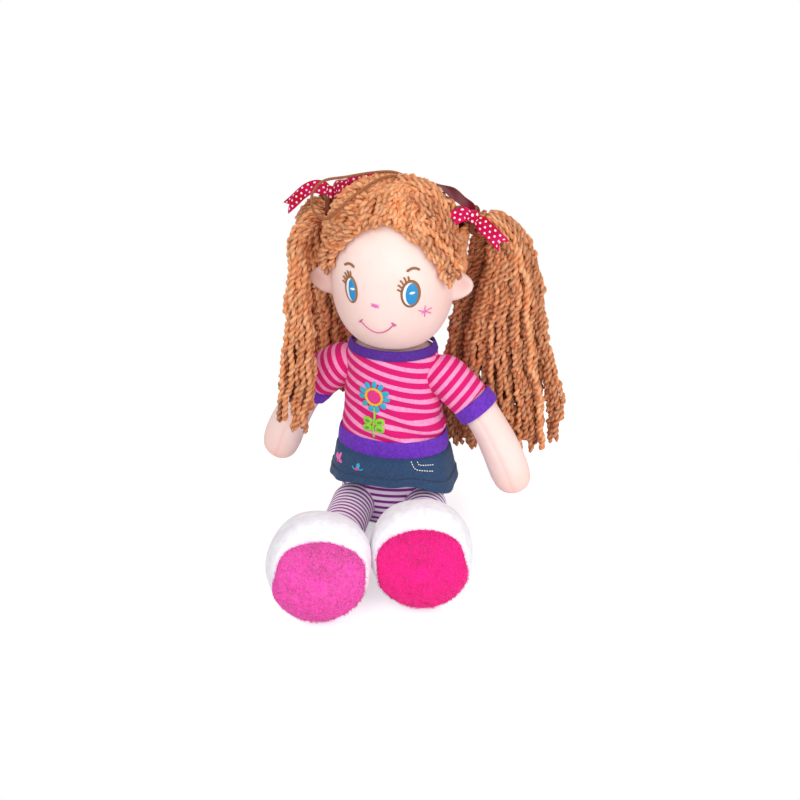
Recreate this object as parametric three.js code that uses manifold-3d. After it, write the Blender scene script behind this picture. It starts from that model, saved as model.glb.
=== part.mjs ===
// A sitting rag doll with two long yarn bunches, as it comes apart on the sewing bench.
// Millimetres, +Z up. The doll sits on z = 0 and faces -Y; the origin is the middle of its seat.
// Left and right are the doll's own, so its left side is +X.

import * as THREE from "three";
import { mergeVertices } from "three/addons/utils/BufferGeometryUtils.js";
import Module from "manifold-3d";

const wasm = await Module();
wasm.setup();

// Cloth, seams and running clearances
const skinWall = 1;
const shirtWall = 1.2;
const bandWall = 2.1;
const skirtWall = 1.3;
const seamGap = 0.3;
const ballGap = 1.1;
const turnGap = 0.7;
const threadWall = 0.6;
const floorFlat = 0.5;
const overrun = 1;
const cutReach = 400;

// How the doll sits: the chest is turned on the hips, and the head a little back the other way
const chestTurn = THREE.MathUtils.degToRad(-12);
const headTurn = THREE.MathUtils.degToRad(6);

// Body
const bodyHeight = 132;
const bodyHalfWidth = 38;
const bodyHalfDepth = 30;
const waistJoin = 52;
const bandRise = 6.5;
const bandHeight = 11;
const bandBottom = waistJoin + bandRise;
const bandTop = bandBottom + bandHeight;
const shirtDrop = 1.6;
const shirtTop = bodyHeight - shirtDrop;
const collarHeight = 4.8;
const collarShare = 0.8;
const collarSideInset = 1;
const collarFrontEase = 0.4;
const collarHalfWidth = collarShare * bodyHalfWidth - collarSideInset;
const collarHalfDepth = collarShare * bodyHalfDepth + collarFrontEase;
const collarFlare = 1.2;
const bodySides = 16;
const bodyTurnStartShare = 0.15;
const bodyTurnEndShare = 0.6;
const collarLevelShares = [1, 0.5, 0];
const bodyLevelShares = [
  [0, 0.82, 0.76], [0.05, 0.95, 0.89], [0.16, 1, 0.95], [0.42, 0.99, 0.88], [0.62, 0.91, 0.85],
  [0.84, 0.85, 0.83], [0.99, 0.8, 0.8], [1, 0.5, 0.54],
];

// Neck and head
const neckSink = 2;
const neckPivotHeight = bodyHeight - neckSink;
const neckBallRadius = 12;
const neckStemRadius = 10;
const neckStemLength = 18;
const headHalfWidth = 43;
const headHalfDepth = 42;
const headHalfHeight = 56;
const chinRise = 4;
const headCentreRise = headHalfHeight + chinRise;
const headCentreForward = 2;
const headCentreAcross = 1;
const headSides = 16;
const headRings = 10;
const headArcShare = 0.94;
const jawFullness = 2.4;
const skullFullness = 2.08;

// Face, in the head's own frame: places across and up from its middle
const eyeAcross = 19.8;
const eyeUp = -3.9;
const eyeHalfWidth = 5.8;
const eyeHalfHeight = 9.2;
const browAcross = 21.6;
const browUp = 12;
const browHalfWidth = 5.5;
const browRise = 2;
const browThickness = 1.6;
const noseAcross = -3.2;
const noseUp = -12.7;
const noseHalfWidth = 3.2;
const noseHalfHeight = 1.7;
const mouthAcross = -2.6;
const mouthUp = -33.6;
const mouthHalfWidth = 11.4;
const mouthRise = 7.6;
const mouthThickness = 1.5;
const starAcross = 28.2;
const starUp = -17.8;
const starReach = 5.4;
const starWaist = 1.6;
const starRays = 5;
const earUp = -10;
const earReach = 12.5;
const earHalfHeight = 10;
const earHalfDepth = 6;

// Hair
const hairThickness = 4.5;
const fringeRadius = 6.6;
const fringeLift = 2.6;
const fringeEnd = THREE.MathUtils.degToRad(84);
const fringeTipShare = 0.45;
const fringeTaper = 2;
const fringeSteps = 13;
const hairlineTopShare = 0.73;
const hairlineTopBackShare = -0.66;
const hairlineEarShare = -0.16;
const hairlineEarBackShare = -0.05;
const napeShare = -0.56;
const bunchBallRadius = 7;
const bunchTieRadius = 8.4;
const bunchTieThickness = 1.7;
const bunchClear = 10.7;
const bunchStalkRadius = 11.5;
const bunchStemRadius = 5.4;
const stalkBaseShare = 1.5;
const stalkTipShare = 0.8;
const bunchFullness = 2.4;
const bunchSides = 12;
const bunchBack = 12;
const leftBunchOut = 10;
const leftBunchDrop = 21;
const rightBunchOut = 5;
const rightBunchDrop = 18;
const headTop = neckPivotHeight + headCentreRise + headHalfHeight;
const bunchAt = (side, out, drop) => ({
  side,
  pivot: [headCentreAcross + side * (headHalfWidth + out), bunchBack - headCentreForward, headTop - drop],
});
const bunches = {
  left: bunchAt(1, leftBunchOut, leftBunchDrop),
  right: bunchAt(-1, rightBunchOut, rightBunchDrop),
};

// Bunches as shares of their drop below the tie and their spread beside it
const leftTailDrop = 193;
const leftTailSpread = 50;
const leftTailDepth = 20;
const leftTailShares = [
  [0.1, 0.2, 0, 0.13, 0.36], [0.28, 0.5, 0.035, 0.2, 0.6], [0.4, 0.85, 0.13, 0.3, 0.78],
  [0.42, 1.1, 0.27, 0.42, 0.82], [0.38, 1.25, 0.42, 0.54, 0.84], [0.38, 1.4, 0.56, 0.64, 0.84],
  [0.42, 1.5, 0.7, 0.76, 0.84], [0.46, 1.6, 0.84, 0.76, 0.8], [0.48, 1.65, 0.95, 0.56, 0.66],
  [0.5, 1.65, 1, 0.38, 0.4],
];
const rightTailDrop = 160;
const rightTailSpread = 40;
const rightTailDepth = 17;
const rightTailShares = [
  [0.1, 0.3, 0.03, 0.14, 0.38], [0.38, 0.7, 0.07, 0.28, 0.6], [0.5, 1.05, 0.16, 0.36, 0.82],
  [0.5, 1.35, 0.32, 0.44, 0.88], [0.46, 1.5, 0.5, 0.54, 0.9], [0.46, 1.6, 0.68, 0.62, 0.9],
  [0.5, 1.7, 0.84, 0.66, 0.86], [0.52, 1.75, 0.95, 0.5, 0.7], [0.54, 1.75, 1, 0.34, 0.44],
];
const lockDrop = 160;
const lockSpread = 30;
const lockDepth = 11;
const lockShares = [
  [0.04, -0.66, 0.045, 0.1, 0.24], [0.34, -1.2, 0.055, 0.18, 0.34], [0.46, -2.4, 0.12, 0.22, 0.7],
  [0.2, -3.3, 0.25, 0.3, 0.9], [0.17, -3.72, 0.4, 0.37, 1], [0.24, -3.85, 0.56, 0.45, 1],
  [0.38, -3.9, 0.72, 0.52, 1], [0.54, -3.9, 0.87, 0.52, 0.96], [0.6, -3.9, 0.96, 0.42, 0.8],
  [0.6, -3.9, 1, 0.3, 0.5],
];

// Ribbon bows
const ribbonWidth = 10;
const ribbonWall = 1.2;
// Places along each ribbon, from the tie and in ribbon widths
const leftBowShares = {
  over: [
    [0.25, -1.2, 0.6], [-0.25, -1, 1.45], [-1.05, -0.2, 1.8], [-2.3, 1, 2.05], [-3.55, 1.7, 2],
    [-4.7, 2.3, 1.9],
  ],
  loop: [[0.25, -1.2, 0.6], [-0.3, -1.8, 0.9], [-0.9, -2.2, 0.6]],
  tail: [[0.25, -1.2, 0.6], [1.6, -1.6, -0.3], [2.5, -1.8, -1.05]],
};
const rightBowShares = {
  over: [[0.25, -0.6, 1.2], [0.8, -0.2, 1.45], [1.6, 0.7, 1.65], [2.4, 1.3, 1.8], [3.5, 1.8, 1.9]],
  loop: [[0.25, -0.6, 1.2], [0.8, -0.8, 1.65], [1.6, -1.1, 1.8]],
  tail: [[0.25, -0.6, 1.2], [-0.85, -0.7, 1.5], [-2.1, -0.8, 0.8], [-3.35, -0.8, -0.5]],
};
const knotRadiusShare = 0.36;

// Hanging loop of cord: both ends meet the cap at the parting
const cordDiameter = 2;
const cordSides = 8;
const cordSteps = 33;
const loopRoute = [
  [12.5, 9, 247.6], [3.5, 8, 252.2], [-4.5, 6, 254], [-17, 2, 253], [-29.5, -7, 251.7], [-45, -9.5, 248.3],
  [-50.5, -12, 240], [-47.5, -15.5, 232], [-42, -20, 228.5], [-34.5, -24, 228.2], [-27, -26, 234],
  [-21, -23.5, 240.3], [-12.5, -18.5, 246.8], [-6.5, -12, 251], [-0.5, -5, 253], [7.5, 4.5, 251.4],
  [10.2, 8.6, 247.8],
];

// Rounded ends of the limbs, as parts of a quarter turn
const limbEndShares = [0.74, 0.36];

// Arms and sleeves: the shoulder lies under the body's top, just outside its side there
const shoulderDrop = 16.5;
const shoulderSideShare = 0.84;
const shoulderOut = 6.08;
const shoulderHeight = bodyHeight - shoulderDrop;
const shoulderAcross = shoulderSideShare * bodyHalfWidth + shoulderOut;
const sleeveBallRadius = 15.5;
const facingWall = 0.8;
const sleeveWall = 1.1;
const sleeveEndRadius = 14.7;
const armBallRadius = 14.1;
const armRadius = 12.8;
const handFlatShare = 0.84;
const wristShare = 0.3;
const palmShare = 0.9;
const armSkinEdgeShare = 0.6;
const facingEdgeShare = 0.56;
const sleeveFullShare = 0.12;
const sleeveEndShare = 0.4;
const armSides = 10;
const armReach = 55;
const armDrop = 84;
const armPathShares = [[0, 0], [0.44, 0.27], [0.75, 0.6], [1, 1]];
const armLevelShares = [
  [0, 0.96], [0.22, 1.02], [0.4, 0.98], [0.56, 1.03], [0.7, 1.08], [0.82, 1.12], [0.9, 1.04], [0.96, 0.8],
  [1, 0.38],
];
const cuffStartShare = 0.25;
const cuffEndShare = 0.36;
const cuffWall = 1.9;

// Legs and feet
const hipAcross = 25;
const hipForward = 12;
const hipHeight = 17;
const legLift = THREE.MathUtils.degToRad(9);
const legBallRadius = 16;
const legRadius = 15.4;
const legSides = 12;
const legFullShares = [0.3, 0.6];
const legSkinEdgeShare = 0.6;
const ankleBallRadius = 13.6;
const footHalfWidth = 33.5;
const footHalfHeight = 36;
const footDepth = 46;
const footSides = 12;
const footLevelShares = [
  [0, 0.4, 0.4], [0.09, 0.7, 0.68], [0.24, 0.9, 0.88], [0.5, 1, 1], [0.74, 0.965, 0.97], [0.89, 0.86, 0.87],
  [0.96, 0.7, 0.72], [1, 0.42, 0.44],
];
const soleSeamShare = 0.79;
const footFullness = 2.25;
const ankleMouthSpread = 6.5;
const ankleMouthReach = 16;
const ankleRise = 5;
const footForward = 16;
const footSink = 1.4;
const leftLegReach = 86;
const leftAnkleSpread = 5;
const leftFootSpread = 1;
const rightLegReach = 108;
const rightAnkleSpread = 8;
const legAt = (side, spread, reach, footSpread, turns) => {
  const ankle = [side * (hipAcross + spread), -hipForward - reach, hipHeight + ankleRise];
  const foot = [ankle[0] + side * footSpread, ankle[1] - footForward, footHalfHeight - footSink];
  return { side, ankle, foot, ...turns };
};
const legs = {
  left: legAt(1, leftAnkleSpread, leftLegReach, leftFootSpread, { pitch: 12, yaw: 5, roll: -8 }),
  right: legAt(-1, rightAnkleSpread, rightLegReach, 0, { pitch: 12, yaw: 12, roll: 10 }),
};

// Skirt
const skirtTopGap = 0.6;
const skirtSideEase = 1.8;
const skirtFrontNip = 0.4;
const skirtSideFlare = 5.2;
const skirtFrontFlare = 16.4;
const skirtBackFlare = 4.4;
const skirtLegGap = 12;
const skirtTop = bandBottom - skirtTopGap;
const skirtTopHalfWidth = bodyHalfWidth + skirtSideEase;
const skirtTopHalfDepth = bodyHalfDepth - skirtFrontNip;
const skirtHemHalfWidth = skirtTopHalfWidth + skirtSideFlare;
const skirtHemFront = skirtTopHalfDepth + skirtFrontFlare;
const skirtHemBack = skirtTopHalfDepth + skirtBackFlare;
const skirtHemFrontHeight = hipHeight + legBallRadius + skirtLegGap;
const skirtHemBackHeight = 29;
const skirtFold = 0.9;
const skirtFolds = 7;
const skirtSides = 36;
const skirtLevelShares = [0, 0.45, 1];
const skirtStitchGap = 0.6;

// Stitched flower on the shirt
const flowerTurn = THREE.MathUtils.degToRad(-9);
const flowerRise = 33.5;
const flowerHeight = bandTop + flowerRise;
const flowerPetals = 11;
const petalReach = 10.4;
const petalRoot = 7.2;
const ringOuter = 6.9;
const ringInner = 5;
const flowerGap = 0.25;
const stemTopGap = 0.6;
const stemRise = 3;
const stemTop = flowerHeight - petalReach - stemTopGap;
const stemBottom = bandTop + stemRise;
const stemWidth = 1.6;
const leafReach = 8;
const leafHalfHeight = 4.6;
const leafRise = 8.5;
const leafHeight = stemBottom + leafRise;

// Stitching on the skirt
const motifReach = 5;
const motifDrop = 6.9;
const motifHeight = skirtTop - motifDrop;
const pinkMotifTurn = THREE.MathUtils.degToRad(-58);
const blueMotifTurn = THREE.MathUtils.degToRad(-30);
const pocketTurn = THREE.MathUtils.degToRad(34);
const pocketHalfWidth = 8;
const pocketDrop = 6;
const pocketLine = 1.2;

// Colours
const colours = {
  skin: "#f6cdb9", fill: "#f3efe6", hair: "#c8834f", fringe: "#d08a55", ribbon: "#c8104f", tie: "#7a4526",
  cord: "#8f5226", shirt: "#e0287c", purple: "#5a2aa8", denim: "#23405c", tights: "#c98fc0", white: "#f4f0f4",
  solePink: "#e8209a", brown: "#7a4a24", blue: "#2f8fd0", facePink: "#e889a8", mouthPink: "#d0618e",
  turquoise: "#2fb6c8", yellow: "#f2c12e", magenta: "#d81f7a", green: "#7fc23a", thread: "#f1f1f4",
};

// Solids from closed meshes

function solidOf(geometry) {
  const bare = geometry.clone();
  bare.deleteAttribute("normal");
  bare.deleteAttribute("uv");
  const merged = mergeVertices(bare, seamGap / cutReach);
  const vertProperties = new Float32Array(merged.attributes.position.array);
  const triVerts = new Uint32Array(merged.index.array);
  return new wasm.Manifold(new wasm.Mesh({ numProp: 3, vertProperties, triVerts }));
}

function geometryOf(solid) {
  const mesh = solid.getMesh();
  const geometry = new THREE.BufferGeometry();
  geometry.setAttribute("position", new THREE.Float32BufferAttribute(mesh.vertProperties, mesh.numProp));
  geometry.setIndex(new THREE.Uint32BufferAttribute(mesh.triVerts, 1));
  return geometry;
}

function placed(solid, matrix) {
  return solid.transform(matrix.elements);
}

function union(...solids) {
  return solids.reduce((joined, solid) => joined.add(solid));
}

// A skin stretched over rings of points, each ring counter-clockwise seen from the last one
function loft(rings) {
  const sides = rings[0].length;
  const points = rings.flat();
  const first = points.length;
  const ends = [rings[0], rings[rings.length - 1]].map((ring) => {
    const middle = new THREE.Vector3();
    ring.forEach((point) => middle.add(point));
    return middle.divideScalar(sides);
  });
  points.push(...ends);
  const faces = [];
  for (let side = 0; side < sides; side += 1) {
    const next = (side + 1) % sides;
    faces.push(first, next, side);
    const top = (rings.length - 1) * sides;
    faces.push(first + 1, top + side, top + next);
    for (let level = 0; level + 1 < rings.length; level += 1) {
      const low = level * sides;
      const high = low + sides;
      faces.push(low + side, low + next, high + next);
      faces.push(low + side, high + next, high + side);
    }
  }
  const geometry = new THREE.BufferGeometry().setFromPoints(points);
  geometry.setIndex(faces);
  return solidOf(geometry);
}

function ball(radius, centre, sides = 12) {
  const geometry = new THREE.SphereGeometry(radius, sides, Math.round(sides * 0.6));
  geometry.translate(...centre);
  return solidOf(geometry);
}

function rod(startRadius, endRadius, start, end, sides = 12) {
  const from = new THREE.Vector3(...start);
  const to = new THREE.Vector3(...end);
  const along = to.clone().sub(from);
  const geometry = new THREE.CylinderGeometry(endRadius, startRadius, along.length(), sides);
  const turn = new THREE.Quaternion().setFromUnitVectors(new THREE.Vector3(0, 1, 0), along.normalize());
  geometry.applyQuaternion(turn);
  geometry.translate(...from.add(to).divideScalar(2).toArray());
  return solidOf(geometry);
}

function block(low, high) {
  const size = high.map((value, axis) => value - low[axis]);
  const geometry = new THREE.BoxGeometry(...size);
  geometry.translate(...low.map((value, axis) => value + size[axis] / 2));
  return solidOf(geometry);
}

function slab(bottom, top) {
  return block([-cutReach, -cutReach, bottom], [cutReach, cutReach, top]);
}

// Everything on the far side of a plane through a point, square to a direction
function beyond(point, direction) {
  const geometry = new THREE.BoxGeometry(2 * cutReach, 2 * cutReach, 2 * cutReach);
  geometry.translate(0, 0, cutReach);
  const facing = new THREE.Vector3(...direction).normalize();
  geometry.applyQuaternion(new THREE.Quaternion().setFromUnitVectors(new THREE.Vector3(0, 0, 1), facing));
  geometry.translate(...point);
  return solidOf(geometry);
}

function rounded(value, power) {
  return Math.sign(value) * Math.abs(value) ** (2 / power);
}

function circlePoints(sides) {
  return Array.from({ length: sides }, (_, side) => {
    const angle = (side / sides) * 2 * Math.PI;
    return [Math.cos(angle), Math.sin(angle)];
  });
}

// Levels that round off the start or the end of a limb as half a ball does
function roundEnd(radius, share, facing) {
  const levels = limbEndShares.map((part) => {
    const angle = part * Math.PI / 2;
    const size = radius * Math.cos(angle);
    return { share, width: size, depth: size, shift: facing * radius * Math.sin(angle) };
  });
  return facing < 0 ? levels : levels.reverse();
}

// A stuffed limb: rings square to a path, wide across it and deep along the reference direction
function limb(path, levels, sides, reference) {
  const corners = circlePoints(sides);
  const rings = levels.map(({ share, width, depth, shift = 0 }) => {
    const centre = path.getPointAt(share);
    const along = path.getTangentAt(share).normalize();
    centre.addScaledVector(along, shift);
    const up = reference.clone().addScaledVector(along, -reference.dot(along)).normalize();
    const across = new THREE.Vector3().crossVectors(up, along);
    return corners.map(([c, s]) => centre.clone()
      .addScaledVector(across, c * width)
      .addScaledVector(up, s * depth));
  });
  return loft(rings);
}

// Body, with a layer's distance outside the skin as its growth

function bodyTurnAt(height) {
  const rise = THREE.MathUtils.smoothstep(height / bodyHeight, bodyTurnStartShare, bodyTurnEndShare);
  return chestTurn * rise;
}

function bodyForm(growth) {
  const corners = circlePoints(bodySides);
  const last = bodyLevelShares.length - 1;
  const rings = bodyLevelShares.map(([rise, width, depth], level) => {
    const ends = { 0: -growth, [last]: growth };
    const height = rise * bodyHeight + (ends[level] ?? 0);
    const turn = bodyTurnAt(rise * bodyHeight);
    return corners.map(([c, s]) => {
      const x = c * (width * bodyHalfWidth + growth);
      const y = s * (depth * bodyHalfDepth + growth);
      const cos = Math.cos(turn);
      const sin = Math.sin(turn);
      return new THREE.Vector3(x * cos - y * sin, x * sin + y * cos, height);
    });
  });
  return loft(rings);
}

function bodyLayer(inner, outer) {
  return bodyForm(outer).subtract(bodyForm(inner));
}

const chestMatrix = new THREE.Matrix4().makeRotationZ(chestTurn);

function onChest(point) {
  return new THREE.Vector3(...point).applyMatrix4(chestMatrix).toArray();
}

function shoulderPivot(side) {
  return [side * shoulderAcross, 0, shoulderHeight];
}

const socketRadius = sleeveBallRadius + 2 * ballGap + facingWall + 2 * seamGap;

function hipPivot(side) {
  return [side * hipAcross, -hipForward, hipHeight];
}

// What a leg sweeps as it goes from lifted a little to hanging straight down
function legSweep(side) {
  const [x, y, z] = hipPivot(side);
  const radius = legBallRadius + ballGap;
  const rods = [legLift, 0, -Math.PI / 2].map((angle) => {
    const end = [x, y - cutReach * Math.cos(angle), z + cutReach * Math.sin(angle)];
    return rod(radius, radius, [x, y, z], end);
  });
  const corner = block([x - radius, y - cutReach, z - cutReach], [x + radius, y, z]);
  return union(ball(radius, [x, y, z]), ...rods, corner);
}

const shoulderSockets = union(...[1, -1].map((side) => ball(socketRadius, onChest(shoulderPivot(side)))));
const neckSocket = ball(neckBallRadius + ballGap, [0, 0, neckPivotHeight]);
const hipSockets = union(legSweep(1), legSweep(-1));

function bodyStuffing() {
  return bodyForm(-skinWall - seamGap).subtract(shoulderSockets).subtract(neckSocket).subtract(hipSockets);
}

function torsoSkin() {
  const wall = bodyLayer(-skinWall, 0).intersect(slab(waistJoin + seamGap, cutReach));
  return wall.subtract(shoulderSockets).subtract(neckSocket);
}

function hipsSkin() {
  return bodyLayer(-skinWall, 0).intersect(slab(-overrun, waistJoin)).subtract(hipSockets);
}

// Shirt: a front and a back panel, a bound collar and a waistband

const shirtOuter = seamGap + shirtWall;

function shirtPanel(facing) {
  const wall = bodyLayer(seamGap, shirtOuter).intersect(slab(bandTop + seamGap, shirtTop));
  const half = beyond(onChest([0, facing * seamGap / 2, 0]), onChest([0, facing, 0]));
  return wall.intersect(half).subtract(shoulderSockets);
}

function waistband() {
  return bodyLayer(seamGap, seamGap + bandWall).intersect(slab(bandBottom, bandTop));
}

// An open band of cloth from the rings of its outside and its inside, both listed from the top down
function openBand(outside, inside) {
  const sides = outside[0].length;
  const rings = [...outside, ...inside.reverse()];
  const faces = [];
  for (let level = 0; level < rings.length; level += 1) {
    for (let side = 0; side < sides; side += 1) {
      const next = (side + 1) % sides;
      const low = level * sides;
      const high = ((level + 1) % rings.length) * sides;
      faces.push(low + side, high + next, low + next);
      faces.push(low + side, high + side, high + next);
    }
  }
  const geometry = new THREE.BufferGeometry().setFromPoints(rings.flat());
  geometry.setIndex(faces);
  return solidOf(geometry);
}

function collarRings(growth) {
  const corners = circlePoints(bodySides);
  return collarLevelShares.map((rise) => corners.map(([c, s]) => {
    const spread = growth + collarFlare * (1 - rise * rise);
    const z = shirtTop + seamGap + rise * collarHeight;
    return new THREE.Vector3(c * (collarHalfWidth + spread), s * (collarHalfDepth + spread), z);
  }));
}

function collarBand() {
  return placed(openBand(collarRings(bandWall), collarRings(0)), chestMatrix);
}

// A flat outline pushed towards -Y, turned round the body's axis
function stamp(shape, turn) {
  const options = { depth: cutReach, bevelEnabled: false, curveSegments: 5 };
  const geometry = new THREE.ExtrudeGeometry(shape, options);
  geometry.rotateX(Math.PI / 2);
  geometry.rotateZ(turn);
  return solidOf(geometry);
}

function shirtPatch(shape) {
  const inner = shirtOuter + seamGap;
  return bodyLayer(inner, inner + threadWall).intersect(stamp(shape, chestTurn + flowerTurn));
}

function lobedShape(height, reach, root, lobes, pointsPerLobe) {
  const count = lobes * pointsPerLobe;
  const points = Array.from({ length: count }, (_, step) => {
    const angle = (step / count) * 2 * Math.PI;
    const swell = Math.sqrt(Math.abs(Math.cos((lobes * angle) / 2)));
    const radius = THREE.MathUtils.lerp(root, reach, swell);
    return new THREE.Vector2(radius * Math.sin(angle), height + radius * Math.cos(angle));
  });
  return new THREE.Shape(points);
}

function ovalPath(kind, x, y, halfWidth, halfHeight) {
  return new kind().absellipse(x, y, halfWidth, halfHeight, 0, 2 * Math.PI);
}

function flowerPetalsShape() {
  const shape = lobedShape(flowerHeight, petalReach, petalRoot, flowerPetals, 3);
  const hole = ringOuter + flowerGap;
  shape.holes.push(ovalPath(THREE.Path, 0, flowerHeight, hole, hole));
  return shape;
}

function flowerRingShape() {
  const shape = ovalPath(THREE.Shape, 0, flowerHeight, ringOuter, ringOuter);
  shape.holes.push(ovalPath(THREE.Path, 0, flowerHeight, ringInner, ringInner));
  return shape;
}

function flowerCentreShape() {
  const radius = ringInner - flowerGap;
  return ovalPath(THREE.Shape, 0, flowerHeight, radius, radius);
}

function flowerStemShape() {
  const half = stemWidth / 2;
  const shape = new THREE.Shape();
  shape.moveTo(-half, stemBottom);
  shape.lineTo(half, stemBottom);
  shape.lineTo(half, leafHeight - leafHalfHeight);
  shape.quadraticCurveTo(leafReach, leafHeight - leafHalfHeight, leafReach, leafHeight + leafHalfHeight);
  shape.quadraticCurveTo(half, leafHeight + leafHalfHeight, half, leafHeight);
  shape.lineTo(half, stemTop);
  shape.lineTo(-half, stemTop);
  shape.lineTo(-half, leafHeight);
  shape.quadraticCurveTo(-half, leafHeight + leafHalfHeight, -leafReach, leafHeight + leafHalfHeight);
  shape.quadraticCurveTo(-leafReach, leafHeight - leafHalfHeight, -half, leafHeight - leafHalfHeight);
  shape.closePath();
  return shape;
}

// Skirt: an open flare, short over the thighs and longer behind, with soft folds at the hem

function skirtPoint(angle, drop, growth) {
  const cos = Math.cos(angle);
  const sin = Math.sin(angle);
  const front = (1 - sin) / 2;
  const hemDepth = sin < 0 ? skirtHemFront : skirtHemBack;
  const fold = skirtFold * drop * Math.sin(skirtFolds * angle);
  const halfWidth = THREE.MathUtils.lerp(skirtTopHalfWidth, skirtHemHalfWidth, drop) + growth + fold;
  const halfDepth = THREE.MathUtils.lerp(skirtTopHalfDepth, hemDepth, drop) + growth + fold;
  const hemHeight = THREE.MathUtils.lerp(skirtHemBackHeight, skirtHemFrontHeight, front * front);
  return new THREE.Vector3(halfWidth * cos, halfDepth * sin, THREE.MathUtils.lerp(skirtTop, hemHeight, drop));
}

function skirtForm(inner, outer, startShare = 0) {
  const angles = Array.from({ length: skirtSides }, (_, side) => (side / skirtSides) * 2 * Math.PI);
  const drops = skirtLevelShares.map((share) => THREE.MathUtils.lerp(startShare, 1, share));
  const rings = (growth) => drops.map((drop) => angles.map((angle) => skirtPoint(angle, drop, growth)));
  return openBand(rings(outer), rings(inner));
}

function skirtPatch(shape, turn) {
  const inner = skirtWall + skirtStitchGap;
  return skirtForm(inner, inner + threadWall).intersect(stamp(shape, turn));
}

function pocketShape() {
  const high = motifHeight + pocketDrop / 2;
  const low = motifHeight - pocketDrop / 2;
  const shape = new THREE.Shape();
  shape.moveTo(-pocketHalfWidth, high);
  shape.quadraticCurveTo(-pocketHalfWidth / 2, low, pocketHalfWidth, low);
  shape.lineTo(pocketHalfWidth, low + pocketLine);
  shape.quadraticCurveTo(0, low + pocketLine, pocketLine - pocketHalfWidth, high);
  shape.closePath();
  return shape;
}

function motifShape() {
  return lobedShape(motifHeight, motifReach, pocketLine, 3, 5);
}

// Neck and head

const headMatrix = new THREE.Matrix4()
  .makeRotationZ(headTurn)
  .setPosition(headCentreAcross, -headCentreForward, neckPivotHeight + headCentreRise);

function neckStem(clearance) {
  const start = [0, 0, neckPivotHeight];
  const end = [0, 0, neckPivotHeight + neckStemLength + clearance];
  const radius = neckStemRadius + clearance;
  return union(ball(neckBallRadius + clearance, start), rod(radius, radius, start, end));
}

function headForm(growth) {
  const corners = circlePoints(headSides);
  const rings = Array.from({ length: headRings }, (_, ring) => {
    const angle = (ring / (headRings - 1) - 0.5) * Math.PI * headArcShare;
    const power = angle < 0 ? jawFullness : skullFullness;
    const spread = rounded(Math.cos(angle), power);
    const height = rounded(Math.sin(angle), power) * (headHalfHeight + growth);
    return corners.map(([c, s]) => new THREE.Vector3(
      c * spread * (headHalfWidth + growth), s * spread * (headHalfDepth + growth), height));
  });
  return loft(rings);
}

function headSkin() {
  return placed(headForm(0).subtract(headForm(-skinWall)), headMatrix).subtract(neckStem(turnGap));
}

function headStuffing() {
  return placed(headForm(-skinWall - seamGap), headMatrix).subtract(neckStem(turnGap));
}

const faceLayer = headForm(seamGap + threadWall).subtract(headForm(seamGap));

function facePatch(shape) {
  return placed(faceLayer.intersect(stamp(shape, 0)), headMatrix);
}

// A crescent between two curves that share their ends, bulging up for a brow or down for a mouth
function crescentShape(x, y, halfWidth, rise, thickness) {
  const shape = new THREE.Shape();
  shape.moveTo(x - halfWidth, y);
  shape.quadraticCurveTo(x, y + 2 * rise, x + halfWidth, y);
  shape.lineTo(x + halfWidth, y - thickness);
  shape.quadraticCurveTo(x, y + 2 * rise - thickness, x - halfWidth, y - thickness);
  shape.closePath();
  return shape;
}

function starShape() {
  const points = Array.from({ length: 2 * starRays }, (_, step) => {
    const angle = (step / starRays) * Math.PI;
    const radius = step % 2 ? starWaist : starReach;
    return new THREE.Vector2(starAcross + radius * Math.sin(angle), starUp + radius * Math.cos(angle));
  });
  return new THREE.Shape(points);
}

function earForm(side, growth) {
  const geometry = new THREE.SphereGeometry(1, 10, 8);
  geometry.scale(2 * earReach + growth, earHalfDepth + growth, earHalfHeight + growth);
  geometry.translate(side * (headHalfWidth - earReach), 0, earUp);
  return solidOf(geometry).intersect(beyond([side * (headHalfWidth - earHalfDepth), 0, 0], [side, 0, 0]));
}

function ear(side) {
  return placed(earForm(side, 0).subtract(headForm(seamGap)), headMatrix);
}

// Hair cap, fringe, bunches and the short stalks that the bunches leave the cap by

const hairlineTop = [0, hairlineTopBackShare * headHalfDepth, hairlineTopShare * headHalfHeight];
const hairlineEar = [0, hairlineEarBackShare * headHalfDepth, hairlineEarShare * headHalfHeight];

function hairlinePoint(angle, lift) {
  const cos = Math.cos(angle);
  const point = new THREE.Vector3(
    Math.sin(angle) * headHalfWidth,
    THREE.MathUtils.lerp(hairlineEar[1], hairlineTop[1], cos),
    THREE.MathUtils.lerp(hairlineEar[2], hairlineTop[2], cos),
  );
  const sizes = [headHalfWidth, headHalfDepth, headHalfHeight];
  const share = Math.hypot(...point.toArray().map((value, axis) => value / sizes[axis]));
  return point.multiplyScalar(1 / share).addScaledVector(point.clone().normalize(), lift);
}

function fringeTube(radius, endAngle) {
  const points = Array.from({ length: fringeSteps }, (_, step) => (
    hairlinePoint(THREE.MathUtils.lerp(-endAngle, endAngle, step / (fringeSteps - 1)), fringeLift)));
  const path = new THREE.CatmullRomCurve3(points);
  const levels = Array.from({ length: fringeSteps + 1 }, (_, step) => {
    const share = step / fringeSteps;
    const swell = Math.min(1, fringeTipShare + fringeTaper * Math.sqrt(Math.min(share, 1 - share)));
    return { share, width: radius * swell, depth: radius * swell };
  });
  return limb(path, levels, 8, new THREE.Vector3(0, -1, 0));
}

const grownEars = union(earForm(1, seamGap), earForm(-1, seamGap));

function fringe() {
  const tube = fringeTube(fringeRadius, fringeEnd).subtract(headForm(seamGap)).subtract(grownEars);
  return placed(tube, headMatrix);
}

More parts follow.
